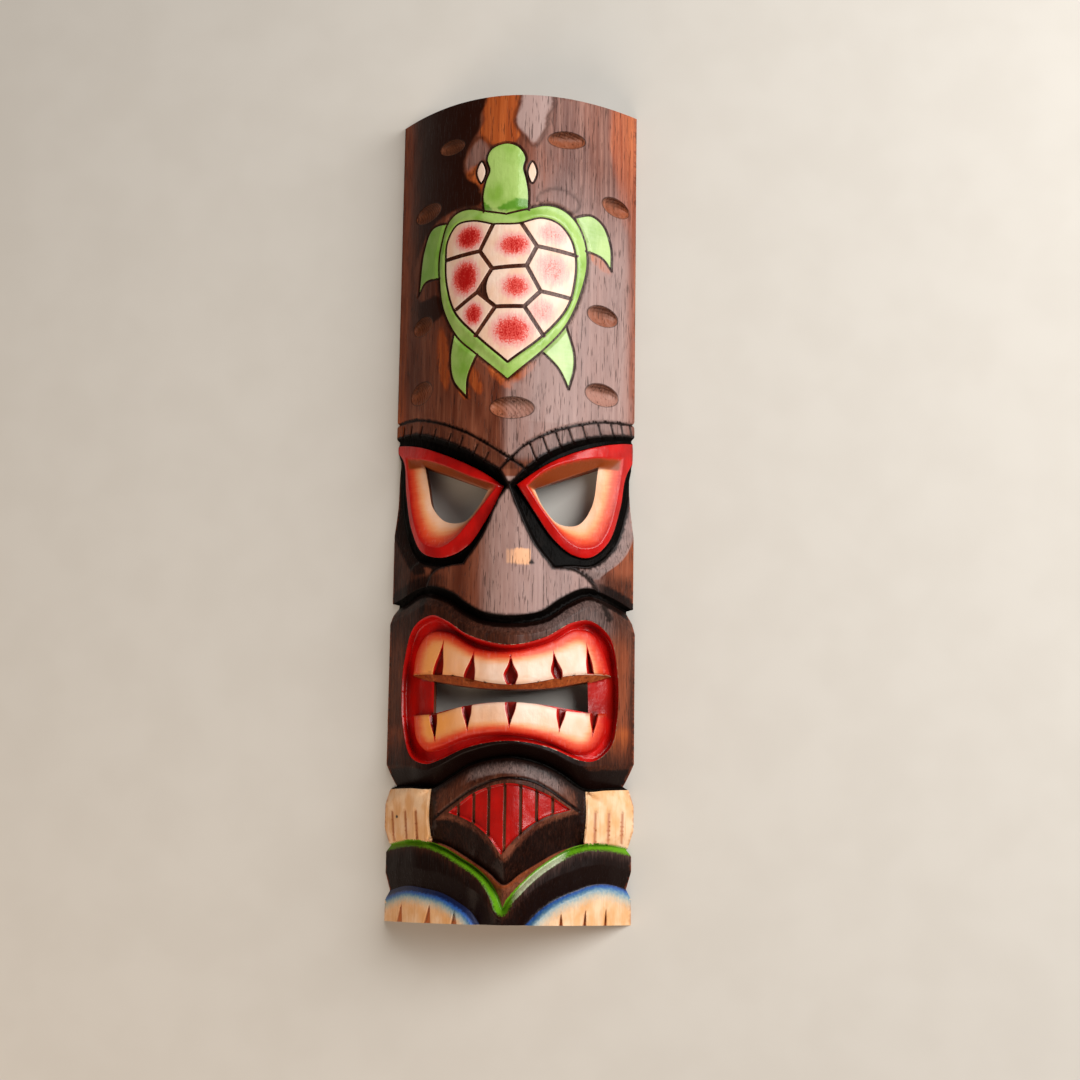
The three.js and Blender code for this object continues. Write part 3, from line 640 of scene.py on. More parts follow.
def carveRim():  # the rim of the shell slopes down both ways from a crest
    def floor(places):
        fromInner = -inward(places, shellInner)
        down = np.where(fromInner > crest["in"], (fromInner - crest["in"]) * crest["outer"],
                        (crest["in"] - fromInner) * crest["inner"])
        onRim = (fromInner > 0) & within(places, shell)
        return np.where(onRim, roundHeight(places[:, 0], carving["face"] + np.clip(down, 0, 1.6)), np.inf)

    addCut(shell, 1, floor)
    addGuides(shellInner, [-crest["in"]], True)


# Depth of each carved line, and its width to the left and to the right
lineCuts = {
    "shell": (2.0, 0.8, 2.8),
    "innerShell": (1.2, 0.7),
    "scute": (1.2, 1.3),
    "head": (1.6, 1.0, 0.6),
    "flipper": (1.6, 0.75),
    "turtleEye": (1.2, 0.6),
    "brow": (2.6, 1.5),
    "notch": (1.8, 0.9),
    "leafTop": (1.8, 1.2),
    "stripe": (1.5, 0.9),
    "finger": (2.2, 1.3),
}
# Section of each channel: offsets to the left of its line, and depths
foldDepth = carving["face"] + 5
sections = {
    "cheek": [(-8, carving["face"]), (0, foldDepth), (1, foldDepth), (1.6, carving["face"])],
    "left wing": [(-13, carving["face"]), (0, foldDepth), (0.9, carving["face"])],
    "right wing": [(-0.9, carving["face"]), (0, foldDepth), (13, carving["face"])],
    "lip": [(-9, 0), (-4.5, 3), (-1, carving["lip"]), (1.5, carving["lip"]), (2.8, carving["face"])],
    "belly": [(-12, 0), (-3, 3.4), (1, 7)],
    "hand": [(-1, 0), (0, 3.5), (6, 0)],
    "hand corner": [(-13, 8.5), (0, 0)],
    "green": [(-3.5, carving["face"]), (0, 8), (1.0, 0)],
    "foot": [(-4, carving["face"]), (0, 7), (11, carving["face"])],
}
overLip = turned(np.vstack([lipLine, [(90, 600), (-90, 600)]]))
underLine = turned(np.vstack([greenLine, [(90, -50), (-90, -50)]]))
handZone = turned(np.vstack([chinLine, greenLine[::-1]]))


def carveTurtle():
    for run in shellEdges:
        groove(run, *lineCuts["shell"])
        addGuides(run, [0.3, -0.9])
    carveRim()
    for run in innerEdges:
        groove(run, *lineCuts["innerShell"])
    recess(slip, carving["face"] + 0.9, carving["face"], 0.6)
    for run in scuteCuts:
        groove(run, *lineCuts["scute"])
    groove(turtleHead, *lineCuts["head"])
    edge = headFacet["from"]
    facet = turned(np.vstack([turtleHead[turtleHead[:, 0] > edge], [(edge, 428)]]))

    def floor(places):
        fall = np.clip(places[:, 0] - edge, 0, None) * headFacet["fall"]
        return np.where(within(places, facet), roundHeight(places[:, 0], carving["face"] + fall), np.inf)

    addGuides(straight((edge, 430), (edge, 467)), [0])
    addCut(facet, 1, floor)
    for run in flipperLines:
        groove(run, *lineCuts["flipper"])
    for ring in eyeRings:
        groove(ring, *lineCuts["turtleEye"], closed=True)


def carveFace():
    for side in ("left", "right"):
        groove(browTop[side], *lineCuts["brow"])
        for notch in notches[side]:
            groove(notch, *lineCuts["notch"])
        carveEye(side)
        channel(cheek[side], sections["cheek"], square=True)
    for side in ("left", "right"):
        channel(wing[side], sections[side + " wing"], square=True, zone=overLip)
    channel(lipLine, sections["lip"])
    carveMouth()
    slope(chinLine, frameFoot, carving["chin"], 0, 1.4, power=0.85)


def carveBody():
    channel(bellyTop, sections["belly"])
    slope(legFold, leafFoot, 8, 2, 1.2, 0.7)
    slope(greenMiddle, beside(legFold, -1), 9, 3.5, 0.8)
    groove(leafTop, *lineCuts["leafTop"], ground=0)
    for run in handInner.values():
        channel(run, sections["hand"])
    recess(leafRed, carving["leaf"])
    for x in stripePlaces:
        stripe = straight((x, 30), (x, 90))
        groove(stripe[inward(stripe, leafRed) > 0.4], *lineCuts["stripe"], ground=carving["leaf"])
    for run in fingerCuts:
        groove(run, *lineCuts["finger"], ground=0)
    channel(greenLine, sections["green"])
    addGuides(greenLine, [-5.0, -6.5])
    for run in footTop.values():
        channel(run, sections["foot"])
    for cut in toeCuts:
        recess(cut, carving["face"] + carving["toe"], carving["face"], 0.55)
    for line in handCorners:
        channel(line, sections["hand corner"], zone=handZone)


def makeRelief():
    for region in (overLip, underLine):
        cuts.append((region.min(0), region.max(0), lambda places, region=region: np.where(
            within(places, region), roundHeight(places[:, 0], carving["face"]), np.inf)))
    for row in gougeMarks:
        gouge(*row, carving["gouge"])
    carveTurtle()
    carveFace()
    carveBody()


def carvedHeight(places):
    height = roundHeight(places[:, 0])
    for low, high, floor in cuts:
        near = np.all((places >= low) & (places <= high), axis=1)
        if near.any():
            height[near] = np.minimum(height[near], floor(places[near]))
    return height


# Marks of the knife: a crease down the middle of the lower face and shallow facets
knife = {
    "middle": 4, "slope": 0.1, "reach": 18,  # of the crease
    "seed": 11, "facets": 900, "long": 0.55, "hollow": 0.012, "deepest": 0.45,
    "edge": 12.0,  # both fade out towards the side of the log
}


def handWork(places, reach):
    x, y = places[:, 0], places[:, 1]
    off = np.abs(x - knife["middle"])
    crease = knife["slope"] * np.minimum(off, knife["reach"]) * fade(off, 60, 40) * fade(y, 268, 250)
    rng = np.random.default_rng(knife["seed"])
    sites = rng.random((knife["facets"], 2)) * (160, 520) - (80, 10)
    tree = KDTree(len(sites))
    for i, site in enumerate(sites):
        tree.insert((site[0], site[1] * knife["long"], 0), i)
    tree.balance()
    facets = [tree.find((px, py * knife["long"], 0))[2] ** 2 * knife["hollow"] for px, py in places]
    facets = np.minimum(facets, knife["deepest"]) * fade(y, 312, 296)
    return (crease + facets) * fade(reach, 0.0, knife["edge"])


def edgeAt(heights, side):  # halves the range until the place where the surface meets the ground is found
    near, far = (np.full(len(heights), limit) for limit in log["edgeRange"])
    for _ in range(24):
        middle = (near + far) / 2
        solid = carvedHeight(np.stack([side * middle, heights], 1)) > 0
        near, far = np.where(solid, middle, near), np.where(solid, far, middle)
    return side * near


def hollowHeight(places):
    x, y = places[:, 0], places[:, 1]
    arch = hollow["depth"] * np.clip(1 - (x / hollow["halfWidth"]) ** 2, 0, 1)
    ends = np.minimum(y - hollow["end"], log["height"] - hollow["end"] - y) / hollow["lean"]
    return np.clip(np.minimum(arch, ends), 0, None)


def latticeIn(low, high, step):
    rows = np.arange(low[1], high[1], step * 0.866)
    places = []
    for i, y in enumerate(rows):
        x = np.arange(low[0] + (i % 2) * step / 2, high[0], step)
        places.append(np.stack([x, np.full(len(x), y)], 1))
    return np.vstack(places)


# Triangles over a plane that follow every line and fill the room between them evenly
def triangulate(lines, filling, clearance):
    points, edges = [], []
    for run, closed in lines:
        first, count = len(points), len(run)
        points.extend(run.tolist())
        edges.extend((first + i, first + i + 1) for i in range(count - 1))
        if closed:
            edges.append((first + count - 1, first))
    tree = KDTree(len(points))
    for i, (x, y) in enumerate(points):
        tree.insert((x, y, 0), i)
    tree.balance()
    for x, y in filling:
        if tree.find((x, y, 0))[2] > clearance:
            points.append([x, y])
    places, _, faces, *_ = delaunay_2d_cdt([Vector(p) for p in points], edges, [], 0, 0.03, False)
    return np.array([(p.x, p.y) for p in places]), np.array(faces)


makeRelief()
print("relief planned:", len(cuts), "cuts,", len(guides), "guide lines")


def topAt(x):
    return log["height"] + log["topSlant"] * x


# The edge of the log: both sides, -1 left and 1 right, and the two ends between them
corner = {side: topAt(side * log["topCorner"]) for side in (-1, 1)}
heights = {side: np.linspace(0, corner[side], round(corner[side] / meshSteps["edge"])) for side in (-1, 1)}
rims = {side: edgeAt(heights[side], side) for side in (-1, 1)}
topX = np.arange(rims[-1][-1], rims[1][-1], meshSteps["end"])[1:-1]
footX = np.arange(rims[-1][0], rims[1][0], meshSteps["end"])[1:-1]
ring = np.vstack([
    np.stack([rims[-1], heights[-1]], 1),
    np.stack([topX, topAt(topX)], 1),
    np.stack([rims[1], heights[1]], 1)[::-1],
    np.stack([footX, 0 * footX], 1)[::-1],
])


def reachInside(places):  # distance from the side of the log
    x, y = places[:, 0], places[:, 1]
    left = x - np.interp(y, heights[-1], rims[-1])
    right = np.interp(y, heights[1], rims[1]) - x
    return np.minimum(left, right)


def inLog(places, margin=0.0):
    y = places[:, 1]
    return (reachInside(places) > margin) & (y > margin) & (y < topAt(places[:, 0]) - margin)


holes = (eyeHole["left"], eyeHole["right"], mouthHole)


def keepFaces(places, faces):
    middles = places[faces].mean(1)
    keep = inLog(middles)
    for hole in holes:
        keep &= ~within(middles, hole)
    return faces[keep]


def fillIn(lines, filling, margin, clearance):
    places, faces = triangulate(lines, filling[inLog(filling, margin)], clearance)
    return places, keepFaces(places, faces)


def frontMesh():
    (left, foot), (right, top), middle = meshArea.values()
    fine = latticeIn((left, foot), (right, middle), meshSteps["face"])
    broad = latticeIn((left, middle), (right, top), meshSteps["forehead"])
    return fillIn([(ring, True), *guides], np.vstack([fine, broad]), *meshRoom["front"])


frontPlaces, frontFaces = frontMesh()
frontHeights = carvedHeight(frontPlaces) - handWork(frontPlaces, reachInside(frontPlaces))
frontHeights = np.maximum(frontHeights, 0.03)  # never below the flat back
print("front:", len(frontPlaces), "places,", len(frontFaces), "triangles")


# The flat back with its trough, on the same edge places as the front so that the two join
def backMesh(loops):
    x, end = hollow["halfWidth"], hollow["end"]
    top = log["height"] - end
    corners = [(-x, end), (x, end), (x, top), (-x, top)]
    sides = zip(corners, corners[1:] + corners[:1])
    trough = np.vstack([straight(a, b, meshSteps["trough"])[:-1] for a, b in sides])
    lines = [(loop, True) for loop in loops] + [(trough, True), (beside(trough, -1.0, True), True)]
    filling = latticeIn(meshArea["foot"], meshArea["top"], meshSteps["back"])
    return fillIn(lines, filling, *meshRoom["back"])


# Paint: how much of each colour lies on the front, from 0 to 1; some of these layers are painted light and
# shade

def above(places, run):  # whether each place is over a run that crosses the face
    order = np.argsort(run[:, 0])
    return places[:, 1] > np.interp(places[:, 0], run[order, 0], run[order, 1])


def aside(places, run, closed=False, reach=16.0):  # sideways, but only worked out near the run
    distance = np.where(above(places, run), reach, -reach)
    near = np.all((places >= run.min(0) - reach) & (places <= run.max(0) + reach), axis=1)
    distance[near] = np.clip(sideways(places[near], run, closed), -reach, reach)
    return distance


def inFrom(places, run, reach=16.0):
    distance = np.full(len(places), -reach)
    near = np.all((places >= run.min(0) - reach) & (places <= run.max(0) + reach), axis=1)
    distance[near] = np.clip(inward(places[near], run), -reach, reach)
    return distance


def band(values, low, high, soft=1.0):  # 1 between two values, with soft ends
    return fade(values, low - soft, low) * fade(values, high + soft, high)


# How far out each place is in an ellipse, 1 on its edge, and how far up
def ellipse(places, x, y, length, width, turn=0, squeeze=1.0):
    c, s = math.cos(math.radians(turn)), math.sin(math.radians(turn))
    across, up = (places[:, 0] - x) / squeeze, places[:, 1] - y
    over = (c * up - s * across) * 2 / width
    return np.hypot((c * across + s * up) * 2 / length, over), over


paintNames = ("soot", "heart", "amber", "warm", "blush", "specks", "green", "blue", "gouged", "worn", "ash")
# Heights over the foot that part one area of paint from the next
levels = {"forehead": 296, "fallenCheek": 282, "nose": 262, "leaf": 90, "hands": 60, "greenLine": 52,
          "legs": 48, "wrists": 46}

# The figure of the wood on the forehead, and the grey, mauve and smoke lobes where a sheen is painted
figure = {name: roundOutline(places) for name, places in {
    "black": [(-84, 512), (-40, 516), (-16, 506), (-17.5, 494), (-19.5, 489), (-20, 481), (-26, 471),
              (-30, 460), (-28, 450), (-20, 443.5), (-18.5, 432), (-34, 431), (-48, 426), (-58, 414),
              (-63, 392), (-58, 379), (-46, 379), (-42, 367), (-54, 361), (-72, 362), (-84, 366)],
    "orange": [(-16, 512), (5, 512), (4, 491), (2, 482), (6, 475), (1, 469), (-10, 468.5), (-15, 470),
               (-19, 474), (-20.5, 479), (-17.5, 485), (-18.5, 492)],
    "cheekOrange": [(-29, 450), (-27, 456), (-21, 457), (-16, 450), (-17, 440), (-18, 431), (-23, 438)],
    "mauve": [(-26, 470), (-19, 474.5), (-14, 470), (-12, 461), (-20, 457), (-26, 451), (-30, 458)],
    "grey": [(7, 508), (22, 508), (25, 495), (22, 488), (21, 480), (14, 468), (8, 474), (3, 480),
             (2, 486), (4.5, 494)],
    "smoke": [(17, 436), (28, 442), (37, 439), (41, 434), (36, 428), (28, 431), (20, 430)],
}.items()}
sheenLobes = {"grey": 0.9, "mauve": 0.45, "smoke": 0.5}
orangeEdge = np.array([(67.5, 300), (68, 394), (68.6, 422), (63.3, 435), (61.8, 456), (57.7, 477),
                       (58.7, 510)])
bareScoops = [(53, 400, 19, 7, -40), (-41, 338, 44, 9, 97), (-27, 316, 14, 7, -60), (-20, 322, 22, 8, -66),
              (-4, 323, 24, 8, -46), (9, 326, 24, 8, 42)]


def add(paint, name, amount):  # of two coats in one place the stronger shows
    np.maximum(paint[name], amount, out=paint[name])


def paintForehead(places, paint):
    x, y = places[:, 0], places[:, 1]
    forehead = y > levels["forehead"]
    black = fade(inFrom(places, figure["black"]), -1.6, 1.6)
    add(paint, "heart", black * np.interp(x, (-74, -66, -54), (0.05, 0.5, 1)))
    # painted sheen in the grey, mauve and smoke lobes, each with a dark rim
    for name, most in sheenLobes.items():
        lobe = inFrom(places, figure[name])
        add(paint, "ash", most * fade(lobe, -0.6, 2.5))
        add(paint, "heart", 0.45 * band(lobe, -0.8, 0.3, 1.5))
    # painted sheen over the right of the forehead
    add(paint, "ash", band(x, 14, 66, 12) * np.interp(y, (400, 460), (0.75, 0.35)) * forehead)
    # painted shade: the forehead darkens towards the left
    add(paint, "heart", 0.42 * fade(-x, 18, 62) * fade(y, levels["forehead"], 330))
    for name in ("orange", "cheekOrange"):
        add(paint, "amber", 0.95 * fade(inFrom(places, figure[name]), -1.2, 1.6))
    # amber down the right edge, with a little painted sheen over it
    onEdge = fade(x - np.interp(y, orangeEdge[:, 1], orangeEdge[:, 0]), -3, 3) * forehead
    add(paint, "amber", np.interp(y, (400, 440, 480), (0.4, 0.6, 0.85)) * onEdge)
    add(paint, "ash", 0.3 * onEdge)
    add(paint, "amber", 0.75 * fade(-x, 62, 71) * forehead)
    for scoop in bareScoops:
        add(paint, "amber", 0.8 * fade(ellipse(places, *scoop)[0], 1.08, 0.8))
    # each gouge mark gets painted shade in its upper half, painted light in its lower half and less painted
    # sheen
    for mark in gougeMarks:  # dark along the edge and in the upper half
        reach, over = ellipse(places, *mark, math.cos(leanAt(mark[0])))
        scooped = fade(reach, 1.02, 0.95)
        paint["ash"] *= 1 - 0.5 * scooped
        add(paint, "gouged", scooped)
        add(paint, "soot", 0.52 * scooped * fade(over, -0.1, 0.7))
        add(paint, "soot", 0.6 * band(reach, 0.98, 1.02, 0.05))
        add(paint, "amber", 0.3 * scooped * fade(over, 0.4, -0.3))


# Cuts that are left as dark wood: a run, its width to the left and right, how dark, whether it is closed
darkCuts = [(run, 1.3, 1.3, 0.5, False) for run in scuteCuts]
darkCuts += [(run, 0.6, 0.6, 0.68, False) for run in innerEdges]
darkCuts += [(run, 0.6, 0.65, 0.68, False) for run in flipperLines]
darkCuts += [(run, 0.25, 0.8, 0.68, False) for run in shellEdges]
darkCuts += [(turtleHead, 0.85, 0.5, 0.68, False)]
darkCuts += [(ring, 0.6, 0.6, 0.68, True) for ring in eyeRings]
# painted shade on the flippers on the left, painted highlight on those on the right
flipperShadeAndHighlight = (("warm", 0.55), ("blush", 0.4), ("warm", 0.3), ("blush", 0.4))


def paintTurtle(places, paint):
    x, y = places[:, 0], places[:, 1]
    for run, left, right, dark, closed in darkCuts:
        distance = aside(places, run, closed, 4.0)
        add(paint, "soot", dark * fade(distance, left + 0.5, left) * fade(-distance, right + 0.5, right))
    add(paint, "soot", 0.6 * fade(inFrom(places, slip), -0.6, 0.2))
    for *middle, strength in scuteBlush:
        add(paint, "specks", strength * fade(ellipse(places, *middle)[0], 1.35, 0.25))
    for ring in eyeRings:
        paint["amber"] *= 1 - fade(inFrom(places, ring), -0.6, 0.1)

    # The scalloped foot of the head is darker; the flippers on the left are darkened as painted shade and
    # those on the right paled as a painted highlight
    onHead = fade(inFrom(places, turtleHead), -0.5, 0.5)
    scallop = np.interp(x, (-17, -12, -9, 0, 4, 10), (434, 429, 428, 432.5, 434.5, 434))
    add(paint, "warm", onHead * fade(scallop - y, -0.4, 0.6) * (y < 445))
    for pair, (name, amount) in zip(flippers, flipperShadeAndHighlight):
        add(paint, name, np.where(within(places, np.vstack(pair)), amount, 0))


# the fallen cheek beside the eye: painted shade on the left, painted sheen on the right
fallenCheekShadeAndSheen = {"left": (0.85, 0.0), "right": (0.4, 0.95)}  # soot and ash on the cheek beside the eye
lids = {"left": ((-54, -12.5), (275, 258)), "right": ((15.5, 53), (258, 274))}


def paintEyes(places, paint):
    x, y = places[:, 0], places[:, 1]
    for side in ("left", "right"):
        add(paint, "soot", 0.92 * band(aside(places, browTop[side]), -1.0, 1.0, 0.6))
        onBrow = above(places, browFoot[side]) & ~above(places, browTop[side])
        add(paint, "soot", np.where(onBrow & ((x < 0) == (side == "left")), 0.35, 0))
        for notch in notches[side]:
            add(paint, "soot", 0.85 * band(aside(places, notch, reach=4.0), -0.5, 0.5, 0.5))
        add(paint, "soot", fade(inFrom(places, socket[side]), -2.2, -0.6))
        fallen = band(aside(places, cheek[side]), -7.5, 0, 1.2) * (y < levels["fallenCheek"])
        for name, amount in zip(("soot", "ash"), fallenCheekShadeAndSheen[side]):
            add(paint, name, amount * fallen)

        # The bevel runs from red at its ridge to cream at the hole, and is amber under the lid, a painted
        # shade
        ridge, hole = inFrom(places, eyeRidge[side]), -inFrom(places, eyeHole[side])
        share = np.clip(ridge, 0, None) / (np.clip(ridge, 0, None) + np.clip(hole, 0, None) + 1e-3)
        onBevel = ridge > -0.3
        add(paint, "blush", np.where(onBevel, 1 - 0.99 * share, 0))
        add(paint, "warm", np.where(onBevel, 0.4, 0))
        lid = np.interp(x, *lids[side])
        under = fade(y - lid, -2.2, 0.6) * fade(share, 0.0, 0.2)
        add(paint, "amber", np.where(onBevel & (y > lid - 3), under, 0))
        paint["soot"] *= 1 - fade(inFrom(places, eyeRim[side]), -0.2, 0.3)


wornPatch = {"across": (2.5, 13.2), "up": (210.6, 218.0), "pit": (16.3, 211.0)}


def paintNose(places, paint):
    x, y = places[:, 0], places[:, 1]
    for run in wing.values():
        add(paint, "soot", 0.85 * band(aside(places, run), -1.4, 1.4, 0.7))
    # the left cheek is darkened as painted shade, and both cheeks darken next to the lip
    onCheek = (y < levels["nose"]) & above(places, lipLine)
    add(paint, "soot", np.where(onCheek, 0.66 * fade(-x, 44, 56) * fade(y, levels["nose"], 240), 0))
    add(paint, "soot", np.where(onCheek, 0.45 * fade(-x, 18, 46) * fade(y, 215, 190), 0))
    add(paint, "amber", 0.35 * fade(x, 55, 66) * band(y, 192, 250, 10))
    add(paint, "soot", np.where(onCheek, 0.55 * fade(x, 48, 60) * fade(y, 214, 202), 0))
    # painted sheen on the right cheek and along the foot of the forehead
    add(paint, "ash", np.where(onCheek, 0.7 * band(x, -4, 44, 22), 0))
    add(paint, "ash", 0.65 * band(x, 4, 68, 12) * band(y, 276, 318, 8))
    worn = band(x, *wornPatch["across"], 4.5) * band(y, *wornPatch["up"], 2.4)
    add(paint, "worn", worn * np.interp(x, (1, 11), (0.6, 1)))
    pitX, pitY = wornPatch["pit"]
    add(paint, "soot", 0.9 * fade(np.hypot(x - pitX, y - pitY), 1.9, 0.9))


def paintMouth(places, paint):
    x, y = places[:, 0], places[:, 1]
    lip, chin = aside(places, lipLine), aside(places, chinLine)
    add(paint, "soot", band(lip, -3.6, 2.8, 1.4))
    add(paint, "soot", 0.85 * fade(-x, 24, 56) * band(lip, 1, 8, 6))
    add(paint, "soot", 0.9 * fade(x, 46, 60) * band(lip, 1, 7, 3))

    # The frame: sooty, darkest at its foot where it turns under and a little darker on the left, both painted
    # shade; amber down both edges and in its lower corners, a painted sheen along its top
    inMouth = inFrom(places, mouth)
    onFrame = (lip < 0) & (chin > 0) & (inMouth < 0.3)
    edges = band(np.abs(x + 1), 64, 71, 5) * band(y, 116, 158, 24) * np.where(x > 0, 0.75, 0.35)
    dark = np.interp(y, (88, 104, 122, 160, 185), (0.97, 0.9, 0.62, 0.52, 0.6)) + 0.1 * fade(-x, -20, 30)
    add(paint, "soot", np.where(onFrame, dark * (1 - 0.8 * edges), 0))
    sheen = np.interp(x, (-30, 0, 30, 58, 66), (0, 0.4, 0.65, 0.65, 0.2))
    add(paint, "ash", np.where(onFrame, sheen * fade(y, 160, 176), 0))
    corners = fade(np.abs(x), 30, 56) * band(y, 86, 112, 8)
    paint["soot"] *= 1 - np.where(onFrame, 0.3 * corners, 0)
    add(paint, "amber", np.where(onFrame, 0.65 * edges + 0.4 * corners, 0))
    # painted shade on the chin slope under the frame
    add(paint, "soot", band(chin, -1.6, 9, 5) * (y > levels["hands"]))

    # Teeth: red mist along the gums, warmer to the left as painted shade, a darker painted shade in the gaps,
    # and bare wood under the upper row
    toGum = np.minimum(*(np.abs(aside(places, gum)) for gum in gums))
    reddened = fade(toGum, np.interp(x, (-55, -30, 10, 45), (17, 13, 12, 16)), -1.0)
    add(paint, "blush", np.where(inMouth > 0, reddened * np.interp(x, (-58, -35), (0.75, 1)), 0))
    add(paint, "warm", np.where(inMouth > 0, 0.1 + 0.8 * fade(-x, -5, 56) + 0.15 * fade(y, 130, 118), 0))
    add(paint, "amber", np.where((inMouth > 0) & (np.abs(x - 1) > 46) & (y > 122) & (y < 148), 0.4, 0))
    for gap in gaps:
        add(paint, "amber", 0.75 * fade(inFrom(places, gap), 0.2, 1.0))
    beneath = fade(underShare(places), -0.02, 0.05)
    add(paint, "amber", 0.8 * beneath)
    paint["blush"] *= beneath < 0.1
    paint["soot"] *= 1 - 0.8 * beneath
    add(paint, "soot", 0.22 * beneath)


def paintBelly(places, paint):
    x, y = places[:, 0], places[:, 1]
    belly, fold, foot = (aside(places, run) for run in (bellyTop, legFold, leafFoot))
    add(paint, "amber", 0.35 * (inFrom(places, leafRed) > 0))
    # darker towards the top of the belly, a painted shadow under the chin
    add(paint, "soot", np.where((belly < 1) & (y > levels["wrists"]), 0.5 + 0.45 * fade(belly, -8, 0), 0))
    # a painted highlight on the crest of the belly
    add(paint, "ash", 0.75 * band(belly, -9, -3, 2) * band(x, -14, 30, 14) * (y > levels["hands"]))
    # painted shade on the slopes above the leg fold, which face down
    onFold = (fold > -0.3) & (foot < 0) & (y < levels["leaf"]) & (np.abs(x - 2) < 46)
    add(paint, "soot", np.where(onFold, 0.82, 0))
    # lighter along the border of the leaf, a painted highlight on its ridge
    paint["soot"] *= 1 - 0.45 * band(foot, -0.9, 0.9, 0.7) * (y < 70)
    add(paint, "soot", 0.9 * band(aside(places, leafTop), -0.9, 0.9, 0.6))
    # an amber line along the fold, a painted highlight
    add(paint, "amber", 0.55 * band(fold, -2.4, -0.9, 0.8))


knot = (-66.2, 61.9)
# the blue is stronger on the left foot, partly painted shade
footShades = {"left": (1.15, 1.0, 0.5, 0), "right": (1.0, 0.68, 0.36, 0)}  # of blue, at these widths
footWidths = (0, 2, 6, 12)


def paintFeet(places, paint):
    x, y = places[:, 0], places[:, 1]
    line = aside(places, greenLine)
    add(paint, "green", band(line, -1.5, 0.7, 0.6) * (y < levels["greenLine"]))
    add(paint, "green", 0.85 * fade(line, -6.0, -1.0) * (line < -0.5))
    # a painted highlight along the green line on the right
    pale = band(line, -3.2, -0.2, 1.0) * band(x, 14, 32, 12) * (y < levels["greenLine"])
    add(paint, "blush", 0.95 * pale)
    # the legs darken downward, partly painted shade on their lower faces, with a painted sheen below the
    # green line
    onLeg = (line < -1) & (y < levels["legs"])
    add(paint, "soot", np.where(onLeg, np.interp(line, (-16, -9, -3), (0.95, 0.9, 0.66)), 0))
    add(paint, "ash", np.where(onLeg, 0.5 * band(line, -8, -4, 2) * fade(x, 4, 20), 0))
    paint["amber"] *= np.where(onLeg, 0.2, 1)
    for side in ("left", "right"):
        top = aside(places, footTop[side])
        onFoot = (top < 0.2) & (x < 0 if side == "left" else x > 10)
        add(paint, "blue", np.where(onFoot, np.interp(-top, footWidths, footShades[side]), 0))
        inner = band(aside(places, handInner[side]), 0.1, 4, 1.5)
        add(paint, "soot", 0.8 * inner * (y < 80) * (y > levels["wrists"]))
        paint["soot"] *= 1 - onFoot * fade(-top, 0.2, 1.0)
    for cut in toeCuts:
        add(paint, "amber", fade(inFrom(places, cut), -0.2, 0.45))
    for cut in fingerCuts:
        (footX, footY), (topX, topY) = cut[0], cut[-1]
        middle = footX + (topX - footX) * (y - footY) / (topY - footY)
        add(paint, "amber", 0.9 * fade(np.abs(x - middle), 1.4, 0.7) * band(y, footY, topY - 1, 1.2))
    add(paint, "heart", fade(np.hypot(x - knot[0], y - knot[1]), 1.7, 0.9))


def paintFront(places):
    paint = {name: np.zeros(len(places)) for name in paintNames}
    for paintPart in (paintForehead, paintTurtle, paintEyes, paintNose, paintMouth, paintBelly, paintFeet):
        paintPart(places, paint)
    return paint


finishes = ["stained wood", "black enamel", "red enamel", "cream enamel", "green enamel", "bare wood",
            "sawn wood"]
leafStripes = [straight((x, 34), (x, 86)) for x in stripePlaces]


def finishOf(places):  # which finish each place on the front has
    x, y = places[:, 0], places[:, 1]
    kind = np.zeros(len(places), int)

    def lay(name, where):
        kind[where] = finishes.index(name)

    lay("green enamel", within(places, np.vstack([turtleHead, [(11, 418), (-16.5, 418)]])))
    for pair in flippers:
        lay("green enamel", within(places, np.vstack(pair)))
    lay("green enamel", within(places, shell))
    lay("cream enamel", within(places, shellInner))
    for ring in eyeRings:
        lay("cream enamel", within(places, ring))
    for run, left, right, _, closed in darkCuts:
        distance = aside(places, run, closed, 4.0)
        lay("stained wood", (distance < left) & (distance > -right))
    lay("stained wood", within(places, slip))
    for side in ("left", "right"):
        lay("black enamel", within(places, socket[side]))
        lay("red enamel", within(places, eyeRim[side]))
        lay("cream enamel", within(places, eyeRidge[side]))
    lip, chin = aside(places, lipLine), aside(places, chinLine)
    lay("black enamel", (lip > -1) & (lip < 2.8))
    # black enamel in the chin crease is painted shade
    lay("black enamel", (chin > -1.4) & (chin < 0.6) & (y > levels["hands"]))
    lay("red enamel", within(places, mouth))
    for block in teeth.values():
        lay("cream enamel", inFrom(places, block) > 0)
    for gap in gaps:
        lay("red enamel", (inFrom(places, gap) > 0) & (kind == finishes.index("cream enamel")))
    lay("stained wood", underShare(places) > 0)
    lay("red enamel", within(places, leafRed))
    for run in leafStripes:
        lay("stained wood", (np.abs(aside(places, run, reach=3.0)) < 0.9) & within(places, leafRed))
    between = (aside(places, greenLine) > 0.6) & (chin < -1.4) & (y > 40) & (y < 84)
    for side, sign in (("left", -1), ("right", 1)):
        inner = handInner[side][np.argsort(handInner[side][:, 1])]
        lay("bare wood", between & (sign * (x - np.interp(y, inner[:, 1], inner[:, 0])) > 0))
    lay("bare wood", (aside(places, footTop["left"]) < 0) & (x < 0) & (y < 26))
    lay("bare wood", (aside(places, footTop["right"]) < 0) & (x > 8) & (y < 28))
    return kind


making = {
    "wallRows": 5,
    "rimReach": 0.15,  # a place this near to the side of the log lies on its edge
    "endReach": 0.5,  # a wall this near to an end is part of the sawn end
    "flat": 0.01,  # whatever is lower lies on the flat back
    "same": 0.002,  # places this close are joined
    "sliver": 0.5,  # square millimetres
    "crease": 0.8,  # angle in radians
}
wallPaint = {"amber": 0.7, "soot": 0.35}


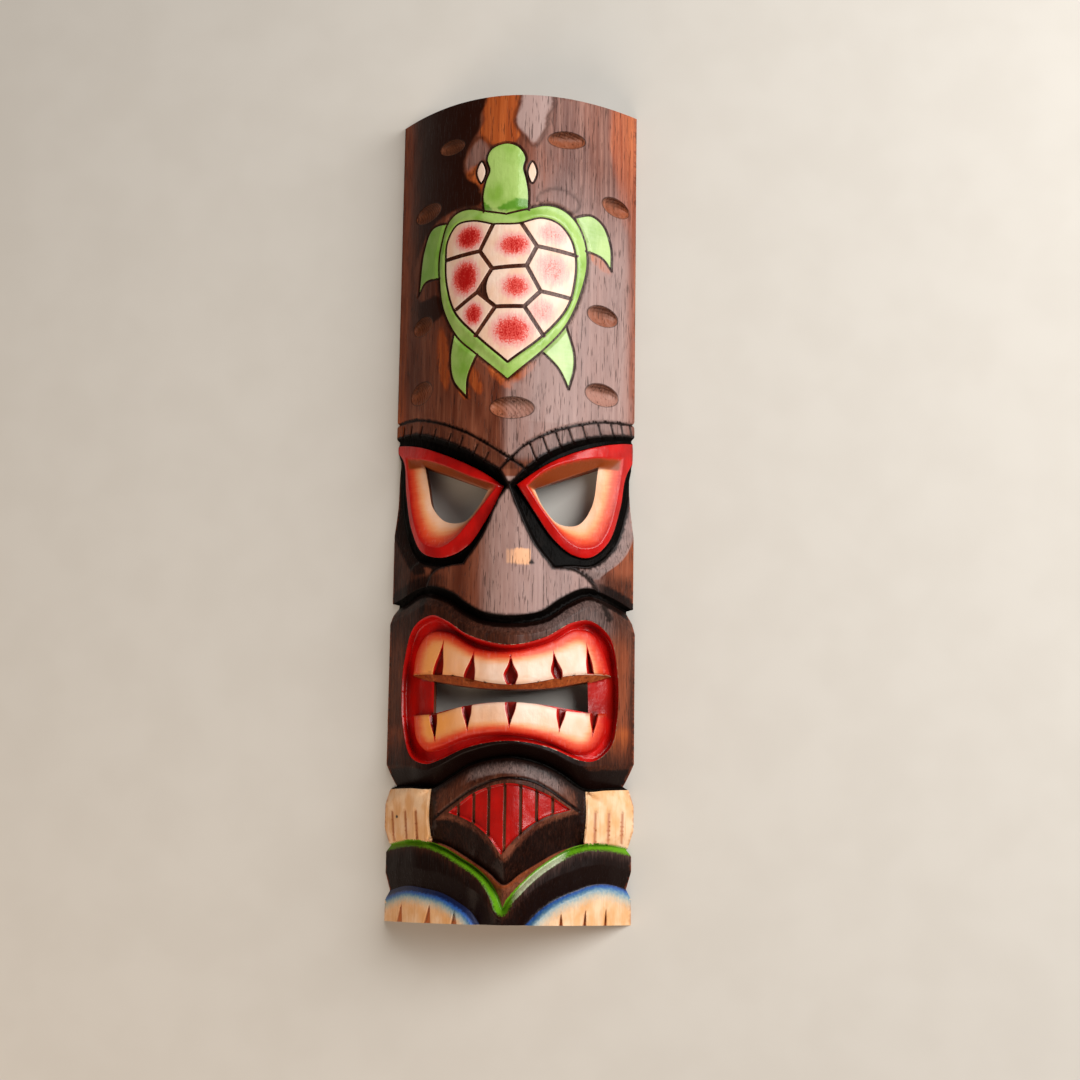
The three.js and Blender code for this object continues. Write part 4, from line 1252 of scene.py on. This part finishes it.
def addFront(bm):
    paint = paintFront(frontPlaces)
    layers = {name: bm.verts.layers.float.new(name) for name in paint}
    for i, ((x, y), z) in enumerate(zip(frontPlaces, frontHeights)):
        vert = bm.verts.new((x, y, z))
        for name, layer in layers.items():
            vert[layer] = paint[name][i]
    bm.verts.ensure_lookup_table()
    kinds = finishOf(frontPlaces[frontFaces].mean(1))
    for (a, b, c), kind in zip(frontFaces.tolist(), kinds.tolist()):
        bm.faces.new((bm.verts[a], bm.verts[b], bm.verts[c])).material_index = kind
    bmesh.ops.delete(bm, geom=[v for v in bm.verts if not v.link_faces], context="VERTS")
    return layers


def edgeLoops(bm, rim):  # the edge places in order, one loop for the log and one for each hole
    bm.verts.index_update()
    loops, left = [], {vert for edge in rim for vert in edge.verts}
    while left:
        loop, came = [min(left, key=lambda vert: vert.index)], None
        while True:
            came = next(e for e in loop[-1].link_edges if e.is_boundary and e is not came)
            following = came.other_vert(loop[-1])
            if following is loop[0]:
                break
            loop.append(following)
        left.difference_update(loop)
        loops.append(np.array([(v.co.x, v.co.y) for v in loop]))
    return loops


# Walls down to the back, round the holes and over the two sawn ends
def addWalls(bm, rim, layers):
    rimVerts = {vert for edge in rim for vert in edge.verts}
    spots = np.array([(v.co.x, v.co.y) for v in rimVerts])
    for vert, reach, y in zip(rimVerts, reachInside(spots), spots[:, 1]):
        if reach < making["rimReach"] and making["flat"] < y < topAt(vert.co.x) - making["flat"]:
            vert.co.z = 0
    lowest = rim
    for row in range(making["wallRows"]):
        grown = bmesh.ops.extrude_edge_only(bm, edges=lowest)["geom"]
        lowest = [part for part in grown if isinstance(part, bmesh.types.BMEdge) and part.is_boundary]
        rowVerts = list({vert for edge in lowest for vert in edge.verts})
        floors = hollowHeight(np.array([(v.co.x, v.co.y) for v in rowVerts]))
        for vert, floor in zip(rowVerts, floors):
            vert.co.z += (floor - vert.co.z) / (making["wallRows"] - row)
        for face in (part for part in grown if isinstance(part, bmesh.types.BMFace)):
            middle = face.calc_center_median()
            sawn = middle.y < making["endReach"] or middle.y > topAt(middle.x) - making["endReach"]
            face.material_index = finishes.index("sawn wood" if sawn else "stained wood")
            for vert in face.verts:
                if not sawn and vert not in rimVerts:
                    for name, amount in wallPaint.items():
                        vert[layers[name]] = amount


def addBack(bm, loops):
    places, faces = backMesh(loops)
    verts = [bm.verts.new((x, y, z)) for (x, y), z in zip(places, hollowHeight(places))]
    for a, b, c in faces.tolist():
        bm.faces.new((verts[c], verts[b], verts[a])).material_index = finishes.index("sawn wood")
    bmesh.ops.remove_doubles(bm, verts=bm.verts, dist=making["same"])


def highest(part):
    return max(vert.co.z for vert in part.verts)


# Slivers where front and back meet: those that stick out of the back go, the missing ones are filled in
def closeSlivers(bm):
    strays = True
    while strays:
        strays = [face for face in bm.faces if any(edge.is_boundary for edge in face.edges)
                  and highest(face) < making["flat"] and face.calc_area() < making["sliver"]]
        bmesh.ops.delete(bm, geom=strays, context="FACES")
    bmesh.ops.holes_fill(bm, edges=[edge for edge in bm.edges if edge.is_boundary], sides=6)
    bmesh.ops.delete(bm, geom=[v for v in bm.verts if not v.link_faces], context="VERTS")


def buildMask(materials):
    bm = bmesh.new()
    layers = addFront(bm)
    rim = [edge for edge in bm.edges if edge.is_boundary]
    loops = edgeLoops(bm, rim)
    for edge in rim:
        edge.smooth = False
    addWalls(bm, rim, layers)
    addBack(bm, loops)
    closeSlivers(bm)
    bmesh.ops.recalc_face_normals(bm, faces=bm.faces)
    for face in bm.faces:
        face.smooth = True
    for edge in bm.edges:  # a crisp edge all round the flat back
        if highest(edge) < making["flat"] and edge.calc_face_angle(0) > making["crease"]:
            edge.smooth = False
    openEdges = sum(not edge.is_manifold for edge in bm.edges)
    bmesh.ops.triangulate(bm, faces=[f for f in bm.faces if len(f.verts) > 3])
    print("mask:", len(bm.verts), "places,", len(bm.faces), "faces,", openEdges, "open edges")
    for vert in bm.verts:
        vert.co = Vector((vert.co.x, vert.co.y - log["middle"], vert.co.z)) / 1000
    mesh = bpy.data.meshes.new("carved_mask")
    bm.to_mesh(mesh)
    bm.free()
    for name in finishes:
        mesh.materials.append(materials[name])
    piece = bpy.data.objects.new("carved_mask", mesh)
    bpy.context.scene.collection.objects.link(piece)
    return piece


# Finishes

def fromHex(code):  # sRGB hex to the linear values that the shaders take
    parts = [int(code[i:i + 2], 16) / 255 for i in (0, 2, 4)]
    return (*(p / 12.92 if p <= 0.04045 else ((p + 0.055) / 1.055) ** 2.4 for p in parts), 1.0)


def addNode(tree, kind, inputs=None, out=0, **settings):  # adds a node with its links, and gives one output
    node = tree.nodes.new("ShaderNode" + kind)
    for name, value in settings.items():
        setattr(node, name, value)
    for socket, value in (inputs or {}).items():
        if isinstance(value, bpy.types.NodeSocket):
            tree.links.new(value, node.inputs[socket])
        else:
            node.inputs[socket].default_value = value
    return node.outputs[out]


colours = {"data_type": "RGBA", "out": 2}  # for a Mix node between colours
eased = {"interpolation_type": "SMOOTHSTEP"}
painted = {"out": "Fac"}


def newFinish(name):  # a material, with the place on the piece in millimetres for its patterns
    material = bpy.data.materials.new(name)
    material.use_nodes = True
    tree = material.node_tree
    place = addNode(tree, "TexCoord", out="Object")
    millimetres = addNode(tree, "VectorMath", {0: place, 3: 1000.0}, operation="SCALE")
    return material, tree, tree.nodes["Principled BSDF"], millimetres


def speckle(tree, millimetres, size, detail=2.0, rough=0.5, bend=0.0):  # uneven spots, size in mm each way
    squeeze = tuple(1 / s for s in size)
    squeezed = addNode(tree, "VectorMath", {0: millimetres, 1: squeeze}, operation="MULTIPLY")
    return addNode(tree, "TexNoise", {"Vector": squeezed, "Scale": 1.0, "Detail": detail, "Roughness": rough,
                                      "Distortion": bend})


def shift(tree, value, by, share):  # moves a value by a pattern that lies round 0.5
    off = addNode(tree, "Math", {0: by, 1: 0.5}, operation="SUBTRACT")
    off = addNode(tree, "Math", {0: off, 1: share}, operation="MULTIPLY")
    return addNode(tree, "Math", {0: value, 1: off}, operation="ADD")


def coat(tree, base, layers):  # lays colours over each other: what shows, from, to, strength, colour
    for shown, low, high, most, colour in layers:
        if isinstance(shown, str):
            shown = addNode(tree, "Attribute", attribute_name=shown, **painted)
        amount = addNode(tree, "MapRange", {0: shown, 1: low, 2: high, 4: most}, **eased)
        base = addNode(tree, "Mix", {0: amount, 6: base, 7: fromHex(colour)}, **colours)
    return base


# Colour, gloss and fine relief of a surface. Gloss holds the coat, its roughness and the specular level.
def polish(tree, shader, base, roughness, gloss, height, depth):
    tree.links.new(base, shader.inputs["Base Color"])
    if isinstance(roughness, bpy.types.NodeSocket):
        tree.links.new(roughness, shader.inputs["Roughness"])
    else:
        shader.inputs["Roughness"].default_value = roughness
    for name, value in zip(("Coat Weight", "Coat Roughness", "Specular IOR Level"), gloss):
        shader.inputs[name].default_value = value
    bump = addNode(tree, "Bump", {"Height": height, "Distance": depth / 1000})
    tree.links.new(bump, shader.inputs["Normal"])


# Hardwood half round, stained brown under thin lacquer: open pores, black and amber figure, a satin gloss,
# and painted sheen, painted shade and painted highlights in its colour.
# Its pores are drawn about twice as wide as real ones, or the render would lose them.
stain = {
    "ground": "56281a", "cloud": "7f4733", "streak": "a1654b", "amber": "98431b", "flame": "cf7038",
    "ash": "b39a95", "heart": "280f07", "scoop": "b9714f", "worn": "f3b78c", "pore": "28110b",
    "soot": "150704", "green": "5f9a14", "deepGreen": "3f7010", "greenHighlight": "d6dec0",
}


def stainedWood():
    material, tree, shader, mm = newFinish("stained hardwood under lacquer")
    clouds = speckle(tree, mm, (22, 110, 22), 4.0, 0.55, 0.6)
    streaks = speckle(tree, mm, (2.4, 70, 2.4), 3.0, 0.6)
    pores = speckle(tree, mm, (0.8, 11, 0.8))
    heart, soot, green, worn, blush, ash, amber, gouged = (
        addNode(tree, "Attribute", attribute_name=name, **painted)
        for name in ("heart", "soot", "green", "worn", "blush", "ash", "amber", "gouged"))
    wavy = addNode(tree, "MapRange", {0: heart, 1: 0.02, 2: 0.25, 4: 0.35}, **eased)
    torn = addNode(tree, "MapRange", {0: soot, 1: 0.02, 2: 0.4, 4: 0.55}, **eased)
    heart = shift(tree, heart, speckle(tree, mm, (3, 16, 3), 3.0), wavy)
    soot = shift(tree, soot, speckle(tree, mm, (0.9, 7, 0.9), 3.0, 0.6), torn)
    green = shift(tree, green, speckle(tree, mm, (0.7, 1.4, 0.7)), 0.9)
    worn = shift(tree, worn, streaks, 1.5)
    # pale is a painted highlight on the green line
    pale = shift(tree, blush, pores, 0.8)
    ash = shift(tree, ash, streaks, 0.5)
    flames = addNode(tree, "Math", {0: streaks, 1: amber}, operation="MULTIPLY")
    base = coat(tree, fromHex(stain["ground"]), [
        (clouds, 0.36, 0.66, 1.0, stain["cloud"]),
        (streaks, 0.45, 0.75, 0.5, stain["streak"]),
        # amber figure, also painted light in the lower half of the gouges and along the leg fold
        (amber, 0.0, 1.0, 0.9, stain["amber"]),
        # painted sheen
        (ash, 0.1, 1.0, 0.8, stain["ash"]),
        (flames, 0.25, 0.7, 0.65, stain["flame"]),
        # dark heartwood figure, and painted shade on the left of the forehead
        (heart, 0.0, 0.92, 1.0, stain["heart"]),
        (gouged, 0.0, 1.0, 0.3, stain["scoop"]),
        (worn, 0.35, 1.0, 0.88, stain["worn"]),
        (pores, 0.42, 0.32, 0.62, stain["pore"]),
        # black airbrush, and painted shade in many places, such as under the chin
        (soot, 0.0, 0.92, 1.0, stain["soot"]),
        (green, 0.3, 0.8, 0.95, stain["green"]),
        (green, 1.0, 1.3, 0.5, stain["deepGreen"]),
        # a painted highlight on the green line
        (pale, 0.3, 1.0, 0.85, stain["greenHighlight"]),
    ])
    rubbed = speckle(tree, mm, (9, 22, 9), 3.0)
    rough = addNode(tree, "MapRange", {0: rubbed, 1: 0.3, 2: 0.7, 3: 0.36, 4: 0.5}, **eased)

    # Chatter of the gouge in its scoops, open pores, and a slow unevenness
    wave = {"Vector": mm, "Scale": 0.2, "Distortion": 1.5, "Detail": 1.0}
    chatter = addNode(tree, "TexWave", wave, out="Fac", wave_type="BANDS", bands_direction="DIAGONAL")
    chatter = addNode(tree, "Math", {0: chatter, 1: gouged}, operation="MULTIPLY")
    openPores = addNode(tree, "MapRange", {0: pores, 1: 0.3, 2: 0.42}, **eased)
    height = addNode(tree, "Math", {0: chatter, 1: 1.2, 2: openPores}, operation="MULTIPLY_ADD")
    uneven = speckle(tree, mm, (2.5, 9, 2.5))
    height = addNode(tree, "Math", {0: uneven, 1: 0.9, 2: height}, operation="MULTIPLY_ADD")
    polish(tree, shader, base, rough, (0.05, 0.14, 0.09), height, 0.16)
    return material


# Black enamel in the deep cuts: brushed thick, nearly black, a thin wet glint along the edges
def blackEnamel():
    material, tree, shader, mm = newFinish("black enamel, brushed")
    base = coat(tree, fromHex("070504"), [(speckle(tree, mm, (3, 5, 3)), 0.5, 0.8, 0.6, "17100d")])
    polish(tree, shader, base, 0.3, (0.0, 0.2, 0.02), speckle(tree, mm, (1.4, 3.5, 1.4), 3.0), 0.3)
    return material


# Enamel brushed and airbrushed over sealed wood: solid colour, a little grain, a wet gloss
def enamel(name, light, dark, layers, rough, gloss):
    material, tree, shader, mm = newFinish(name)
    grain = speckle(tree, mm, (1.4, 30, 1.4), 3.0, 0.6)
    across = speckle(tree, mm, (9, 1.6, 9), 3.0, 0.6)
    base = coat(tree, fromHex(light), [
        (speckle(tree, mm, (11, 15, 11)), 0.35, 0.7, 1.0, dark),
        (grain, 0.55, 0.75, 0.3, dark),
    ])
    mist = shift(tree, addNode(tree, "Attribute", attribute_name="blush", **painted), across, 0.22)
    specks = addNode(tree, "Attribute", attribute_name="specks", **painted)
    loose = addNode(tree, "MapRange", {0: specks, 1: 0.0, 2: 0.6, 4: 1.1}, **eased)
    specks = shift(tree, specks, speckle(tree, mm, (0.7, 1.0, 0.7)), loose)
    specks = shift(tree, specks, speckle(tree, mm, (1.6, 7, 1.6)), 0.5)
    shown = {"mist": mist, "specks": specks}
    base = coat(tree, base, [(shown.get(row[0], row[0]), *row[1:]) for row in layers])
    ripples = addNode(tree, "Math", {0: grain, 1: 0.4, 2: speckle(tree, mm, (2.2, 3.0, 2.2))},
                      operation="MULTIPLY_ADD")
    polish(tree, shader, base, rough, gloss, ripples, 0.2)
    return material


# Pale hardwood left bare on hands and feet: satin, creamy, orange in the knife cuts, a blue mist on the feet
def bareWood():
    material, tree, shader, mm = newFinish("bare hardwood, sealed")
    grain = speckle(tree, mm, (1.2, 26, 1.2), 3.0, 0.6)
    blue = addNode(tree, "Attribute", attribute_name="blue", **painted)
    mist = shift(tree, blue, speckle(tree, mm, (1.3, 2.0, 1.3)), 0.3)
    base = coat(tree, fromHex("f1cba4"), [
        (speckle(tree, mm, (8, 14, 8), 3.0), 0.3, 0.7, 1.0, "e2a86e"),
        (grain, 0.52, 0.72, 0.4, "c98a52"),
        ("amber", 0.0, 1.0, 0.85, "ad5a2a"),
        ("heart", 0.3, 0.7, 1.0, "1c1410"),  # a small knot on the left hand
        (mist, 0.02, 0.5, 0.75, "a3b5b0"),
        (mist, 0.28, 0.7, 0.85, "3e83a4"),
        (mist, 0.5, 0.85, 0.95, "1f4f9c"),
        (mist, 0.8, 1.0, 1.0, "0d1a46"),
    ])
    height = addNode(tree, "Math", {0: grain, 1: speckle(tree, mm, (1.1, 2.5, 1.1))}, operation="ADD")
    polish(tree, shader, base, 0.46, (0.1, 0.3, 0.4), height, 0.18)
    return material


# Sawn back and ends: dull brown wood, thinly stained, with saw marks across the grain
def sawnWood():
    material, tree, shader, mm = newFinish("sawn hardwood, thinly stained")
    grain = speckle(tree, mm, (1.5, 60, 3), 4.0, 0.65)
    base = coat(tree, fromHex("94623c"), [
        (speckle(tree, mm, (30, 90, 30), 3.0, 0.5, 0.5), 0.3, 0.7, 1.0, "6a4026"),
        (grain, 0.5, 0.72, 0.6, "4a2a19"),
    ])
    wave = {"Vector": mm, "Scale": 0.12, "Distortion": 3.0, "Detail": 2.0}
    saw = addNode(tree, "TexWave", wave, out="Fac", wave_type="BANDS", bands_direction="Y")
    height = addNode(tree, "Math", {0: saw, 1: 0.5, 2: grain}, operation="MULTIPLY_ADD")
    polish(tree, shader, base, 0.7, (0.0, 0.3, 0.3), height, 0.3)
    return material


finish = {
    "stained wood": stainedWood(),
    "black enamel": blackEnamel(),
    # its amber row darkens the red to brown, a painted shade in the gaps between the teeth
    "red enamel": enamel("red enamel, glossy", "c4100a", "a80b08", [("amber", 0.0, 1.0, 1.0, "64130a")],
                         0.28, (0.2, 0.12, 0.22)),
    "cream enamel": enamel("cream enamel with red mist", "f4d8c6", "eec5aa", [
        # warmer on the eyes, and painted shade on the left teeth
        ("warm", 0.0, 1.0, 1.0, "f2a04e"),
        ("mist", 0.12, 0.5, 0.8, "ef9a5c"),
        ("mist", 0.35, 0.75, 1.0, "dd4a28"),
        ("mist", 0.7, 1.0, 1.0, "bb140c"),
        ("specks", 0.02, 0.4, 0.85, "eba7a2"),
        ("specks", 0.35, 0.75, 0.9, "dc3a30"),
        ("specks", 0.72, 1.05, 1.0, "b5100c"),
        # painted shade under the lids of the eyes
        ("amber", 0.0, 1.0, 1.0, "84390f"),
    ], 0.42, (0.05, 0.14, 0.25)),
    # its warm row is painted shade on the flippers on the left and darkens the foot of the head; its mist row
    # is a painted highlight on the flippers on the right
    "green enamel": enamel("green enamel, brushed", "a6c66c", "83ad42",
                           [("warm", 0.0, 1.0, 0.9, "4f8a16"), ("mist", 0.1, 1.0, 0.8, "dfe8c8")],
                           0.38, (0.14, 0.2, 0.4)),
    "bare wood": bareWood(),
    "sawn wood": sawnWood(),
}
print("finishes made")

maskPiece = buildMask(finish)
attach(maskPiece, "root")
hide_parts("mask")
print("mask built")


# Floor and light: a pale floor, a soft key light on the mask's right and a weak fill on its left

stage = {"floor": 6.0, "colour": "cfcbc4", "cloud": "c5c0b8", "room": "efebe6", "roomLight": 0.1}
lamps = [
    # name, place, size, watts, colour
    ("key", (1.15, 0.45, 0.95), (1.0, 1.3), 35, "fffefc"),
    ("fill", (-0.7, -1.1, 1.0), (1.2, 1.2), 14, "ffe6cc"),
]


def makeStage():
    bm = bmesh.new()
    bmesh.ops.create_grid(bm, x_segments=2, y_segments=2, size=stage["floor"] / 2)
    mesh = bpy.data.meshes.new("floor")
    bm.to_mesh(mesh)
    bm.free()
    floor = bpy.data.objects.new("floor", mesh)
    bpy.context.scene.collection.objects.link(floor)
    material, tree, shader, mm = newFinish("matt pale paper")
    tone = speckle(tree, mm, (40, 40, 40))
    base = coat(tree, fromHex(stage["colour"]), [(tone, 0.3, 0.7, 0.3, stage["cloud"])])
    polish(tree, shader, base, 0.8, (0.0, 0.3, 0.3), tone, 0.1)
    mesh.materials.append(material)
    for name, place, size, watts, colour in lamps:
        lamp = bpy.data.lights.new(name, "AREA")
        lamp.shape = "RECTANGLE"
        lamp.size, lamp.size_y = size
        lamp.energy = watts
        lamp.color = fromHex(colour)[:3]
        holder = bpy.data.objects.new(name, lamp)
        holder.location = place
        holder.rotation_euler = (-Vector(place)).to_track_quat("-Z", "Y").to_euler()
        bpy.context.scene.collection.objects.link(holder)
    world = bpy.data.worlds.new("soft grey room")
    world.use_nodes = True
    world.node_tree.nodes["Background"].inputs["Color"].default_value = fromHex(stage["room"])
    world.node_tree.nodes["Background"].inputs["Strength"].default_value = stage["roomLight"]
    bpy.context.scene.world = world
    bpy.context.scene.view_settings.view_transform = "Standard"


makeStage()
print("stage set")
